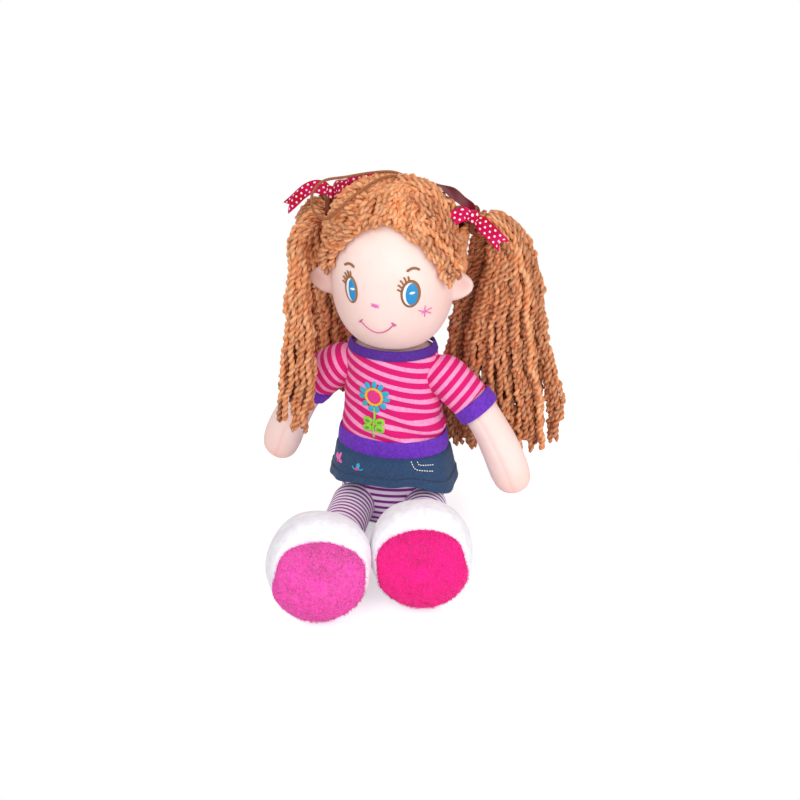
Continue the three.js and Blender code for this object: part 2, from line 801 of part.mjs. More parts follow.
function hairCap() {
  const face = [0, hairlineTop[2] - hairlineEar[2], hairlineEar[1] - hairlineTop[1]];
  const behind = beyond(hairlineEar, [0, face[1], face[2]]);
  const nape = beyond(hairlineEar, [0, (hairlineEarShare - napeShare) * headHalfHeight, headHalfDepth]);
  const shell = headForm(hairThickness).intersect(behind).intersect(nape).subtract(grownEars);
  const cap = placed(shell, headMatrix);
  const stalks = Object.values(bunches).map(({ side, pivot }) => {
    const [x, y, z] = pivot;
    const base = stalkBaseShare * bunchStalkRadius;
    const tip = stalkTipShare * bunchStalkRadius;
    const inside = [x - side * 2 * bunchStalkRadius, y, z - bunchStalkRadius];
    return rod(base, tip, inside, [x - side * seamGap, y, z]);
  });
  const clearances = Object.values(bunches).map(({ pivot }) => ball(bunchClear, pivot));
  const cordPits = [loopRoute[0], loopRoute[loopRoute.length - 1]].map((end) => ball(cordDiameter, end, 8));
  return union(cap, ...stalks)
    .subtract(union(...clearances, ...cordPits))
    .subtract(placed(fringeTube(fringeRadius + seamGap, fringeEnd), headMatrix))
    .subtract(placed(headForm(seamGap), headMatrix));
}

function bunchRoot({ side, pivot }) {
  const [x, y, z] = pivot;
  const reach = Math.sqrt((bunchClear - 3 * seamGap) ** 2 - bunchStemRadius ** 2);
  const stem = rod(bunchStemRadius, bunchStemRadius, [x - side * reach, y, z], pivot, 10);
  return union(ball(bunchBallRadius, pivot, 10), stem);
}

function bunchTie({ pivot }) {
  const geometry = new THREE.TorusGeometry(bunchTieRadius + seamGap, bunchTieThickness - seamGap, 6, 12);
  geometry.rotateY(Math.PI / 2);
  geometry.translate(...pivot);
  return solidOf(geometry);
}

// A bunch of yarn: rings given by middle, half width and half depth
function bunchForm(rows, pivot) {
  const centres = rows.map(([x, y, z]) => new THREE.Vector3(x, y, z));
  const corners = circlePoints(bunchSides);
  const last = rows.length - 1;
  const rings = rows.map(([, , , width, depth], row) => {
    const centre = centres[row];
    const along = centres[Math.min(row + 1, last)].clone().sub(centres[Math.max(row - 1, 0)]).normalize();
    const back = new THREE.Vector3(0, 1, 0);
    const up = back.addScaledVector(along, -back.dot(along)).normalize();
    const across = new THREE.Vector3().crossVectors(up, along);
    return corners.map(([c, s]) => centre.clone()
      .addScaledVector(across, rounded(c, bunchFullness) * width)
      .addScaledVector(up, rounded(s, bunchFullness) * depth));
  });
  return loft(rings).subtract(ball(bunchClear, pivot));
}

function bunchRows(bunch, shares, drop, spread, depth) {
  const [x, y, z] = bunch.pivot;
  return shares.map(([out, back, down, width, deep]) => [
    x + bunch.side * out * spread, y + back * depth, z - down * drop, width * spread, deep * depth,
  ]);
}

// Ribbon: a knot, two flat loops and a tail, each a strip of the ribbon's own width

function strip(points, facing) {
  const path = new THREE.CatmullRomCurve3(points.map((point) => new THREE.Vector3(...point)));
  const reference = new THREE.Vector3(...facing);
  const steps = points.length + 2;
  const rings = Array.from({ length: steps + 1 }, (_, step) => {
    const centre = path.getPointAt(step / steps);
    const along = path.getTangentAt(step / steps).normalize();
    const up = reference.clone().addScaledVector(along, -reference.dot(along)).normalize();
    const across = new THREE.Vector3().crossVectors(up, along).multiplyScalar(ribbonWidth / 2);
    up.multiplyScalar(ribbonWall / 2);
    return [[1, 1], [-1, 1], [-1, -1], [1, -1]].map(([side, face]) => (
      centre.clone().addScaledVector(across, side).addScaledVector(up, face)));
  });
  return loft(rings);
}

function bow(name) {
  const { pivot } = bunches[name];
  const shares = name === "left" ? leftBowShares : rightBowShares;
  const place = (rows) => rows.map((row) => row.map((share, axis) => pivot[axis] + share * ribbonWidth));
  const facing = name === "left" ? [0, -1, 0.3] : [0, -1, 0.6];
  const strips = Object.values(shares).map((rows) => strip(place(rows), facing));
  const knot = ball(ribbonWidth * knotRadiusShare, place(shares.tail)[0], 8);
  return union(knot, ...strips);
}

// Hanging loop

function hangingLoop() {
  const path = new THREE.CatmullRomCurve3(loopRoute.map((point) => new THREE.Vector3(...point)));
  const levels = Array.from({ length: cordSteps + 1 }, (_, step) => ({
    share: step / cordSteps, width: cordDiameter / 2, depth: cordDiameter / 2,
  }));
  return limb(path, levels, cordSides, new THREE.Vector3(0, 1, 0.4));
}

// Arms, sleeves, cuffs and the armhole facings that the sleeve roots turn in

function armPath(side) {
  const [x, y, z] = shoulderPivot(side);
  return new THREE.CatmullRomCurve3(armPathShares.map(([out, down]) => new THREE.Vector3(
    x + side * out * armReach, y, z - down * armDrop)));
}

function armForm(side, growth) {
  const last = armLevelShares.length - 1;
  const levels = armLevelShares.map(([share, size], level) => {
    const width = size * armRadius + growth;
    const reach = THREE.MathUtils.smoothstep(share, wristShare, palmShare);
    const flat = THREE.MathUtils.lerp(1, handFlatShare, reach);
    return { share, width, depth: flat * size * armRadius + growth, shift: level === last ? growth : 0 };
  });
  levels[0].width = armBallRadius + growth;
  levels[0].depth = armBallRadius + growth;
  const root = roundEnd(armBallRadius + growth, 0, -1);
  return limb(armPath(side), [...root, ...levels], armSides, new THREE.Vector3(0, 1, 0));
}

function sleeveForm(side, growth) {
  const levels = [0, sleeveFullShare, cuffStartShare, sleeveEndShare].map((share) => {
    const run = Math.min(1, share / cuffStartShare);
    const size = THREE.MathUtils.lerp(sleeveBallRadius, sleeveEndRadius, run);
    return { share, width: size + growth, depth: size + growth };
  });
  const root = roundEnd(sleeveBallRadius + growth, 0, -1);
  return limb(armPath(side), [...root, ...levels], armSides, new THREE.Vector3(0, 1, 0));
}

function alongArm(side, share, gap) {
  const path = armPath(side);
  const along = path.getTangentAt(share);
  return beyond(path.getPointAt(share).addScaledVector(along, gap).toArray(), along.toArray());
}

function sleeve(side) {
  const wall = sleeveForm(side, 0).subtract(sleeveForm(side, -sleeveWall));
  return wall.subtract(alongArm(side, cuffStartShare, 0));
}

function cuff(side) {
  const wall = sleeveForm(side, cuffWall - sleeveWall).subtract(sleeveForm(side, -sleeveWall));
  return wall.intersect(alongArm(side, cuffStartShare, seamGap)).subtract(alongArm(side, cuffEndShare, 0));
}

function armSkin(side) {
  const wall = armForm(side, 0).subtract(armForm(side, -skinWall));
  const [x, y, z] = shoulderPivot(side);
  return wall.subtract(beyond([x - side * armBallRadius * armSkinEdgeShare, y, z], [-side, 0, 0]));
}

function armholeFacing(side) {
  const [x, y, z] = shoulderPivot(side);
  const inner = sleeveBallRadius + ballGap;
  const cup = ball(inner + facingWall, [x, y, z]).subtract(ball(inner, [x, y, z]));
  return cup.intersect(beyond([x - side * sleeveBallRadius * facingEdgeShare, y, z], [-side, 0, 0]));
}

// Legs and feet

function legPath({ side, ankle }) {
  const start = new THREE.Vector3(...hipPivot(side));
  const end = new THREE.Vector3(...ankle);
  const middle = start.clone().lerp(end, 0.5);
  return new THREE.CatmullRomCurve3([start, middle, end]);
}

function legForm(leg, growth) {
  const middle = legFullShares.map((share) => [share, legRadius]);
  const radii = [[0, legBallRadius], ...middle, [1, ankleBallRadius]];
  const levels = radii.map(([share, size]) => ({ share, width: size + growth, depth: size + growth }));
  const root = roundEnd(legBallRadius + growth, 0, -1);
  const end = roundEnd(ankleBallRadius + growth, 1, 1);
  return limb(legPath(leg), [...root, ...levels, ...end], legSides, new THREE.Vector3(0, 0, 1));
}

function legSkin(leg) {
  const end = new THREE.Vector3(...leg.ankle);
  const along = end.clone().sub(new THREE.Vector3(...hipPivot(leg.side))).normalize();
  end.addScaledVector(along, ankleBallRadius * legSkinEdgeShare);
  const open = beyond(end.toArray(), along.toArray());
  return legForm(leg, 0).subtract(legForm(leg, -skinWall)).subtract(open);
}

function footMatrix({ foot, pitch, yaw, roll }) {
  const turn = new THREE.Euler(
    -THREE.MathUtils.degToRad(pitch), THREE.MathUtils.degToRad(roll), THREE.MathUtils.degToRad(yaw), "ZYX",
  );
  return new THREE.Matrix4().makeRotationFromEuler(turn).setPosition(...foot);
}

function footForm(growth) {
  const corners = circlePoints(footSides);
  const last = footLevelShares.length - 1;
  const rings = footLevelShares.map(([share, width, height], level) => {
    const ends = { 0: growth, [last]: -growth };
    const y = footDepth / 2 - share * footDepth + (ends[level] ?? 0);
    return corners.map(([c, s]) => new THREE.Vector3(
      rounded(c, footFullness) * (width * footHalfWidth + growth), y,
      rounded(s, footFullness) * (height * footHalfHeight + growth)));
  });
  return loft(rings);
}

function footPlaced(leg, solid) {
  return placed(solid, footMatrix(leg)).intersect(slab(0, cutReach));
}

function ankleMouth(leg) {
  const end = new THREE.Vector3(...leg.ankle);
  const back = new THREE.Vector3(...hipPivot(leg.side)).sub(end).normalize();
  const radius = ankleBallRadius + ballGap + seamGap;
  const mouth = end.clone().addScaledVector(back, ankleMouthReach);
  const cone = rod(radius, radius + ankleMouthSpread, leg.ankle, mouth.toArray(), 12);
  return union(ball(radius, leg.ankle, 12), cone);
}

function soleSplit(gap, facing) {
  const y = footDepth / 2 - soleSeamShare * footDepth;
  return beyond([0, y + facing * gap, 0], [0, facing, 0]);
}

function footUpper(leg) {
  const wall = footForm(0).subtract(footForm(-skinWall)).intersect(soleSplit(seamGap, 1));
  return footPlaced(leg, wall).subtract(ankleMouth(leg));
}

function footSole(leg) {
  return footPlaced(leg, footForm(0).subtract(footForm(-skinWall)).intersect(soleSplit(0, -1)));
}

function footStuffing(leg) {
  return placed(footForm(-skinWall - seamGap), footMatrix(leg))
    .intersect(slab(skinWall + seamGap - floorFlat, cutReach))
    .subtract(ankleMouth(leg));
}

// The finished doll

const doll = new THREE.Group();
const chest = new THREE.Group();
chest.rotation.z = chestTurn;
doll.add(chest);

function add(group, name, solid, colour, roughness = 0.9) {
  const material = new THREE.MeshStandardMaterial({ color: colour, roughness, metalness: 0 });
  const mesh = new THREE.Mesh(geometryOf(solid), material);
  mesh.name = name;
  group.add(mesh);
}

function addBody() {
  add(doll, "body_stuffing", bodyStuffing(), colours.fill);
  add(doll, "torso_skin", torsoSkin(), colours.skin);
  add(doll, "hips_skin", hipsSkin(), colours.tights);
  add(doll, "shirt_front", shirtPanel(-1), colours.shirt);
  add(doll, "shirt_back", shirtPanel(1), colours.shirt);
  add(doll, "collar_band", collarBand(), colours.purple);
  add(doll, "waistband", waistband(), colours.purple);
  add(doll, "flower_petals", shirtPatch(flowerPetalsShape()), colours.turquoise);
  add(doll, "flower_ring", shirtPatch(flowerRingShape()), colours.yellow);
  add(doll, "flower_centre", shirtPatch(flowerCentreShape()), colours.magenta);
  add(doll, "flower_stem", shirtPatch(flowerStemShape()), colours.green);
  add(doll, "skirt", skirtForm(0, skirtWall), colours.denim);
  add(doll, "pocket_stitch", skirtPatch(pocketShape(), pocketTurn), colours.thread);
  add(doll, "pink_motif", skirtPatch(motifShape(), pinkMotifTurn), colours.facePink);
  add(doll, "blue_motif", skirtPatch(motifShape(), blueMotifTurn), colours.turquoise);
}

function addHead() {
  add(chest, "neck", neckStem(0), colours.skin);
  add(chest, "head_skin", headSkin(), colours.skin);
  add(chest, "head_stuffing", headStuffing(), colours.fill);
  for (const [name, side] of [["left", 1], ["right", -1]]) {
    add(chest, `${name}_ear`, ear(side), colours.skin);
    const eye = ovalPath(THREE.Shape, side * eyeAcross, eyeUp, eyeHalfWidth, eyeHalfHeight);
    add(chest, `${name}_eye`, facePatch(eye), colours.blue);
    const brow = crescentShape(side * browAcross, browUp, browHalfWidth, browRise, browThickness);
    add(chest, `${name}_brow`, facePatch(brow), colours.brown);
  }
  const nose = ovalPath(THREE.Shape, noseAcross, noseUp, noseHalfWidth, noseHalfHeight);
  add(chest, "nose", facePatch(nose), colours.facePink);
  const mouth = crescentShape(mouthAcross, mouthUp + mouthRise, mouthHalfWidth, -mouthRise, -mouthThickness);
  add(chest, "mouth", facePatch(mouth), colours.mouthPink);
  add(chest, "cheek_star", facePatch(starShape()), colours.facePink);
  add(chest, "hair_cap", hairCap(), colours.hair);
  add(chest, "fringe", fringe(), colours.fringe);
  add(chest, "hanging_loop", hangingLoop(), colours.cord);
}

function addBunches() {
  for (const name of ["left", "right"]) {
    add(chest, `${name}_bunch_root`, bunchRoot(bunches[name]), colours.hair);
    add(chest, `${name}_tie`, bunchTie(bunches[name]), colours.tie);
    add(chest, `${name}_bow`, bow(name), colours.ribbon, 0.4);
  }
  const { left, right } = bunches;
  const leftRows = bunchRows(left, leftTailShares, leftTailDrop, leftTailSpread, leftTailDepth);
  const rightRows = bunchRows(right, rightTailShares, rightTailDrop, rightTailSpread, rightTailDepth);
  const lockRows = bunchRows(right, lockShares, lockDrop, lockSpread, lockDepth);
  add(chest, "left_tail", bunchForm(leftRows, left.pivot), colours.hair);
  add(chest, "right_tail", bunchForm(rightRows, right.pivot), colours.hair);
  add(chest, "right_front_lock", bunchForm(lockRows, right.pivot), colours.fringe);
}

function addLimbs() {
  for (const [name, side] of [["left", 1], ["right", -1]]) {
    add(chest, `${name}_armhole_facing`, armholeFacing(side), colours.shirt);
    add(chest, `${name}_arm_skin`, armSkin(side), colours.skin);
    add(chest, `${name}_arm_stuffing`, armForm(side, -skinWall - seamGap), colours.fill);
    add(chest, `${name}_sleeve`, sleeve(side), colours.shirt);
    add(chest, `${name}_cuff`, cuff(side), colours.purple);
    const leg = legs[name];
    add(doll, `${name}_leg_skin`, legSkin(leg), colours.tights);
    add(doll, `${name}_leg_stuffing`, legForm(leg, -skinWall - seamGap), colours.fill);
    add(doll, `${name}_foot_upper`, footUpper(leg), colours.white);
    add(doll, `${name}_foot_sole`, footSole(leg), colours.solePink);
    add(doll, `${name}_foot_stuffing`, footStuffing(leg), colours.fill);
  }
}

addBody();
addHead();
addBunches();
addLimbs();

export default doll;
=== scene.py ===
"""A sitting rag doll with two yarn bunches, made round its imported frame.

Lengths are millimetres until a mesh is made, which is in metres. The legs face -Y; the chest, with
the arms and the hair, is turned on the hips, and the head a little back the other way.
"""

import math

import bpy
import numpy as np
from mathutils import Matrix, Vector


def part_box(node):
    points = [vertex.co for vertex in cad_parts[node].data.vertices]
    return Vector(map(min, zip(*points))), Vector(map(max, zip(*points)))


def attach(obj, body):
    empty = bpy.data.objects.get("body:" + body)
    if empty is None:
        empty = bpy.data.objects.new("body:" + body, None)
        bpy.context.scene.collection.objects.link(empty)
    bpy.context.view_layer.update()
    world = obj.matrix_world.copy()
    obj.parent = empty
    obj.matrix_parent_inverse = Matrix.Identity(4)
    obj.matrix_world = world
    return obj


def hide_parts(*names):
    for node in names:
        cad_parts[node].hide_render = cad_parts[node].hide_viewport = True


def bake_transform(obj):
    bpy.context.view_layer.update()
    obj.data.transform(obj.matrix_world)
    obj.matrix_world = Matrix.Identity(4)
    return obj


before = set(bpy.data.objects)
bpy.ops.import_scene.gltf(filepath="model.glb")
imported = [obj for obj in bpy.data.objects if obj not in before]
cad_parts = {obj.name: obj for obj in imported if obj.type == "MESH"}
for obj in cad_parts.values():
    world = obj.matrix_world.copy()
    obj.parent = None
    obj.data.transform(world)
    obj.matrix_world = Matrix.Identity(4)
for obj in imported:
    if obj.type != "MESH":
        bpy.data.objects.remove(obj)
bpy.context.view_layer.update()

MM = 0.001
SIDES = ("left", 1), ("right", -1)
BACKWARD = np.array((0, 1.0, 0))
CHEST_TURN = math.radians(-12)
HEAD_TURN = math.radians(6)
HEAD_PLACE = np.array((1, -2, 190))


# Camera and light

CAMERA_TARGET = (5, 0, 90)
CAMERA_TURN, CAMERA_RISE = math.radians(6), math.radians(25)
CAMERA_DISTANCE = 900
CAMERA_LENS = 56.7
LAMP_TARGET = (0, 0, 120)
LAMP_DISTANCE = 1100
# Each lamp's name, turn and rise in degrees, size in metres and power in watts
LAMPS = ("key", -20, 36, 0.9, 5.1), ("fill", 42, 14, 1.1, 6.2), ("back", 165, 45, 0.8, 3.0)
AMBIENT = 0.52
WHITE = (1, 1, 1, 1)


def direction(turn, rise):
    """A unit vector from the object towards a viewer that far round it and above it."""
    level = math.cos(rise)
    return Vector((math.sin(turn) * level, -math.cos(turn) * level, math.sin(rise)))


def aim(thing, target, turn, rise, distance):
    """Stands a camera or lamp at a distance from a target, looking at it."""
    back = direction(turn, rise)
    thing.location = (Vector(target) + back * distance) * MM
    thing.rotation_mode = "QUATERNION"
    thing.rotation_quaternion = (-back).to_track_quat("-Z", "Y")


def linked(name, data):
    """A new object in the scene."""
    thing = bpy.data.objects.new(name, data)
    bpy.context.scene.collection.objects.link(thing)
    return thing


def bare_tree(owner):
    """The node tree of a material or world, emptied."""
    owner.use_nodes = True
    owner.node_tree.nodes.clear()
    return owner.node_tree


def add(tree, kind, inputs=(), **settings):
    """Adds a shader node, with its settings, and with its inputs' values or links."""
    made = tree.nodes.new("ShaderNode" + kind)
    for key, value in settings.items():
        setattr(made, key, value)
    for key, value in dict(inputs).items():
        if isinstance(value, bpy.types.NodeSocket):
            tree.links.new(value, made.inputs[key])
        else:
            made.inputs[key].default_value = value
    return made


def in_plain_sight(tree):
    """A socket that is 1 for the rays that show the studio: seen, off gloss or through glass."""
    rays = add(tree, "LightPath").outputs
    seen = rays["Is Camera Ray"]
    for kind in "Is Glossy Ray", "Is Transmission Ray":
        seen = add(tree, "Math", {0: seen, 1: rays[kind]}, operation="MAXIMUM").outputs[0]
    return seen


def linear(colour):
    """An sRGB hex colour as linear red, green, blue and 1."""
    parts = [int(colour[i:i + 2], 16) / 255 for i in (1, 3, 5)]
    return [p / 12.92 if p <= 0.04045 else ((p + 0.055) / 1.055) ** 2.4 for p in parts] + [1]


camera = linked("camera", bpy.data.cameras.new("camera"))
camera.data.lens = CAMERA_LENS
aim(camera, CAMERA_TARGET, CAMERA_TURN, CAMERA_RISE, CAMERA_DISTANCE)
bpy.context.scene.camera = camera
bpy.context.scene.view_settings.view_transform = "Standard"

for label, turn, rise, size, watts in LAMPS:
    lamp = linked(label + "_lamp", bpy.data.lights.new(label, "AREA"))
    lamp.data.shape = "DISK"
    lamp.data.size = size
    lamp.data.energy = watts
    aim(lamp, LAMP_TARGET, math.radians(turn), math.radians(rise), LAMP_DISTANCE)

bpy.context.scene.world = bpy.data.worlds.new("studio")
sky = bare_tree(bpy.context.scene.world)
ambient = add(sky, "Background", {"Color": WHITE, "Strength": AMBIENT}).outputs[0]
white = add(sky, "Background", {"Color": WHITE, "Strength": 1}).outputs[0]
shown = add(sky, "MixShader", {0: in_plain_sight(sky), 1: ambient, 2: white})
add(sky, "OutputWorld", {0: shown.outputs[0]})


# Meshes from whole arrays of points. Each is (points, quads, triangles, layers of numbers)

NO_TRIANGLES = np.zeros((0, 3), int)


def fans(count, points_each, quads, triangles):
    """The same faces for each of several skins whose points follow each other."""
    shift = (np.arange(count) * points_each)[:, None, None]
    return (quads[None] + shift).reshape(-1, 4), (triangles[None] + shift).reshape(-1, 3)


def outward(points, quads, triangles):
    """The faces, turned over if their skin encloses a negative volume."""
    halves = np.concatenate([quads[:, [0, 1, 2]], quads[:, [0, 2, 3]], triangles])
    a, b, c = (points[halves[:, corner]] for corner in range(3))
    if (a * np.cross(b, c)).sum() < 0:
        return quads[:, ::-1], triangles[:, ::-1]
    return quads, triangles


def skins(grid, **layers):
    """Closed skins over rings of points, (skins, rings, sides, 3), with a pole in each end ring."""
    grid = grid.reshape((-1,) + grid.shape[-3:])
    count, rings, sides = grid.shape[:3]
    points = np.concatenate([grid.reshape(count, -1, 3), grid[:, [0, -1]].mean(2)], 1)
    ring, side = np.meshgrid(np.arange(rings - 1) * sides, np.arange(sides), indexing="ij")
    beside = (side + 1) % sides
    quads = np.stack([ring + side, ring + beside, ring + sides + beside, ring + sides + side], -1)
    side, beside, top = side[0], beside[0], (rings - 1) * sides
    pole = np.full(sides, rings * sides)
    first, last = (beside, side, pole), (top + side, top + beside, pole + 1)
    triangles = np.concatenate([np.stack(first, -1), np.stack(last, -1)])
    quads, triangles = fans(count, points.shape[1], quads.reshape(-1, 4), triangles)
    points = points.reshape(-1, 3)
    values = {}
    for key, layer in layers.items():
        layer = np.broadcast_to(layer, grid.shape[:3])
        poles = layer[:, [0, -1]].mean(2)
        values[key] = np.concatenate([layer.reshape(count, -1), poles], 1).ravel()
    return points, *outward(points, quads, triangles), values


def hoop(outside, inside, **layers):
    """An open band of cloth, closed round itself, from the rings of its outside and its inside."""
    grid = np.concatenate([outside, inside[::-1]])
    rings, sides = grid.shape[:2]
    ring, side = np.meshgrid(np.arange(rings), np.arange(sides), indexing="ij")
    after, beside = (ring + 1) % rings * sides, (side + 1) % sides
    quads = np.stack([ring * sides + side, ring * sides + beside, after + beside, after + side], -1)
    points = grid.reshape(-1, 3)
    values = {key: np.concatenate([v, v[::-1]]).ravel() for key, v in layers.items()}
    return points, *outward(points, quads.reshape(-1, 4), NO_TRIANGLES), values


def panel(outside, inside, **layers):
    """A piece of cloth with four edges, from the grids of its outside and its inside."""
    rows, columns = outside.shape[:2]
    index = np.arange(rows * columns).reshape(rows, columns)
    quads = np.stack([index[:-1, :-1], index[:-1, 1:], index[1:, 1:], index[1:, :-1]], -1)
    edge = np.concatenate([index[0, :-1], index[:-1, -1], index[-1, :0:-1], index[:0:-1, 0]])
    quads, after, back = quads.reshape(-1, 4), np.roll(edge, -1), rows * columns
    rim = np.stack([after, edge, edge + back, after + back], -1)
    quads = np.concatenate([quads, quads[:, ::-1] + back, rim])
    points = np.concatenate([outside.reshape(-1, 3), inside.reshape(-1, 3)])
    values = {key: np.concatenate([v, v]).ravel() for key, v in layers.items()}
    return points, *outward(points, quads, NO_TRIANGLES), values


def torus(grid, **layers):
    """A closed skin from a grid that runs round in both directions."""
    half = len(grid) // 2
    points, quads, triangles, _ = hoop(grid[:half], grid[half:][::-1])
    values = {key: np.broadcast_to(v, grid.shape[:2]).ravel() for key, v in layers.items()}
    return points, quads, triangles, values


def piece(name, *parts, finish, body=None, stands_for=(), slot=None):
    """One object of a few closed skins, in metres, that wears a finish and moves with a body."""
    points = np.concatenate([part[0] for part in parts]) * MM
    starts = np.concatenate([[0], np.cumsum([len(part[0]) for part in parts])])
    faces = [face for part, start in zip(parts, starts)
             for face in (part[1] + start).tolist() + (part[2] + start).tolist()]
    data = bpy.data.meshes.new(name)
    data.from_pydata(points.tolist(), [], faces)
    data.polygons.foreach_set("use_smooth", np.ones(len(faces), bool))
    for key in {key for part in parts for key in part[3]}:
        values = [part[3].get(key, np.zeros(len(part[0]))) for part in parts]
        layer = data.attributes.new(key, "FLOAT", "POINT")
        layer.data.foreach_set("value", np.concatenate(values).astype(np.float32))
    data.update()
    data.materials.append(finish)
    made = linked(name, data)
    if body:
        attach(made, body)
    if stands_for:
        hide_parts(*stands_for)
    return made


# Lines, places and sizes

def around(sides):
    """Angles of a full turn."""
    return np.arange(sides) / sides * 2 * np.pi


def wrapped(angle):
    """An angle brought to within half a turn of 0."""
    return np.angle(np.exp(1j * angle))


def xyz(x, y, z):
    """Points from their coordinates, which are first brought to one shape."""
    return np.stack(np.broadcast_arrays(x, y, z), -1)


def power(value, exponent):
    """The value's size to a power, with the value's sign."""
    return np.sign(value) * np.abs(value) ** exponent


def step(low, high, value):
    """0 below low, 1 above high, and an S between them."""
    t = np.clip((value - low) / (high - low), 0, 1)
    return t * t * (3 - 2 * t)


def bell(value, width):
    """1 at 0, and less to both sides: the Gauss curve that is 1/e at a width."""
    return np.exp(-((value / width) ** 2))


def smooth_rows(rows, counts):
    """Catmull-Rom values between the rows of a table, at places from 0 to its last row."""
    rows = np.asarray(rows, float)
    at = np.clip(np.asarray(counts, float), 0, len(rows) - 1 - 1e-9)
    low = at.astype(int)
    t = (at - low).reshape(at.shape + (1,) * (rows.ndim - 1))
    a, b, c, d = (rows[np.clip(low + shift, 0, len(rows) - 1)] for shift in (-1, 0, 1, 2))
    square, cube = 2 * a - 5 * b + 4 * c - d, 3 * b - a - 3 * c + d
    return 0.5 * (2 * b + (c - a) * t + square * t**2 + cube * t**3)


def rows_at(table, key):
    """Values between a table's rows, by its first column: smooth cubics that never overshoot."""
    table = np.asarray(table, float)
    keys, rows = table[:, 0], table[:, 1:]
    steep = np.diff(rows, axis=0) / np.diff(keys)[:, None]
    before, after = steep[:-1], steep[1:]
    total = np.where(before + after == 0, 1, before + after)
    even = np.where(before * after > 0, 2 * before * after / total, 0)
    slopes = np.concatenate([steep[:1], even, steep[-1:]])
    key = np.clip(np.asarray(key, float), keys[0], keys[-1])
    low = np.clip(np.searchsorted(keys, key, "right") - 1, 0, len(keys) - 2)
    gap = (keys[low + 1] - keys[low])[..., None]
    t = (key - keys[low])[..., None] / gap
    start = (1 - t) ** 2 * ((1 + 2 * t) * rows[low] + t * gap * slopes[low])
    end = t**2 * (3 - 2 * t) * rows[low + 1]
    return start + end + t**2 * (t - 1) * gap * slopes[low + 1]


def run_of(lines):
    """How far along its line each point lies, for lines of shape (..., steps, 3)."""
    gaps = np.linalg.norm(np.diff(lines, axis=-2), axis=-1)
    return np.concatenate([np.zeros_like(gaps[..., :1]), np.cumsum(gaps, -1)], -1)


def evenly(points, count):
    """A smooth line through points, evenly spaced along it."""
    fine = smooth_rows(points, np.linspace(0, len(points) - 1, 24 * len(points)))
    run = run_of(fine)
    at = np.linspace(0, run[-1], count)
    return np.stack([np.interp(at, run, fine[:, axis]) for axis in range(fine.shape[1])], -1)


def unit(vectors):
    """Vectors cut to length 1."""
    vectors = np.asarray(vectors, float)
    return vectors / np.maximum(np.linalg.norm(vectors, axis=-1, keepdims=True), 1e-9)


def frames(lines, reference):
    """Along lines of points, (..., steps, 3): the way they run and two directions square to it."""
    along = unit(np.gradient(lines, axis=-2))
    up = unit(reference - (reference * along).sum(-1, keepdims=True) * along)
    return along, up, np.cross(up, along)


def turned(points, angle):
    """Points turned round the Z axis, by one angle or by one for each."""
    c, s = np.cos(angle), np.sin(angle)
    x, y, z = np.moveaxis(np.asarray(points, float), -1, 0)
    return np.stack([c * x - s * y, s * x + c * y, z], -1)


def on_chest(points):
    """Points of the chest's own frame, in the doll's."""
    return turned(points, CHEST_TURN)


def ripple(points, size, seed):
    """A smooth unevenness from -1 to 1: five sine waves in drawn directions, a size across."""
    draw = np.random.default_rng(seed)
    ways, phases = unit(draw.normal(size=(5, 3))), draw.uniform(0, 2 * np.pi, 5)
    return np.sin(np.asarray(points) @ ways.T * (np.pi / size) + phases).mean(-1) * 1.6


def limb_ripple(share, length, turn, reach, size, seed):
    """The ripple of a limb's cloth, by the share of its length and by the turn round it."""
    rolled = xyz(share[:, None] * length, np.cos(turn) * reach, np.sin(turn) * reach)
    return ripple(rolled, size, seed)


def tubes(lines, radius, sides=8, reference=(0, 0, 1), flat=1.0, **layers):
    """Closed tubes along lines, (..., steps, 3): at each point an ellipse square to the line.

    Its half axes are the radius across and the radius times flat towards the reference. They and
    the layers may change along the line and, with one more axis, round it.
    """
    lines = np.asarray(lines, float)
    _, up, across = frames(lines, np.array(reference, float))
    angle, full = around(sides)[:, None], lines.shape[:-1] + (sides,)

    def spread(value):
        """The value at each point of each ring."""
        value = np.asarray(value, float)
        return np.broadcast_to(value if value.shape == full else value[..., None], full)

    towards_up = spread(flat)[..., None] * np.sin(angle) * up[..., None, :]
    spoke = np.cos(angle) * across[..., None, :] + towards_up
    grid = lines[..., None, :] + spread(radius)[..., None] * spoke
    return skins(grid, **{key: spread(v).reshape((-1,) + full[-2:]) for key, v in layers.items()})


def round_ends(steps, length, radius):
    """Shares of the full radius that round off both ends of a line, as half balls do."""
    from_end = np.minimum(np.linspace(0, length, steps), np.linspace(length, 0, steps))
    return np.sqrt(np.clip(1 - np.clip(1 - from_end / radius, 0, 1) ** 2, 0.003, 1))


# Finishes

def per(size):
    """The scale of a pattern whose spots are that many millimetres across."""
    return 1 / (size * MM)


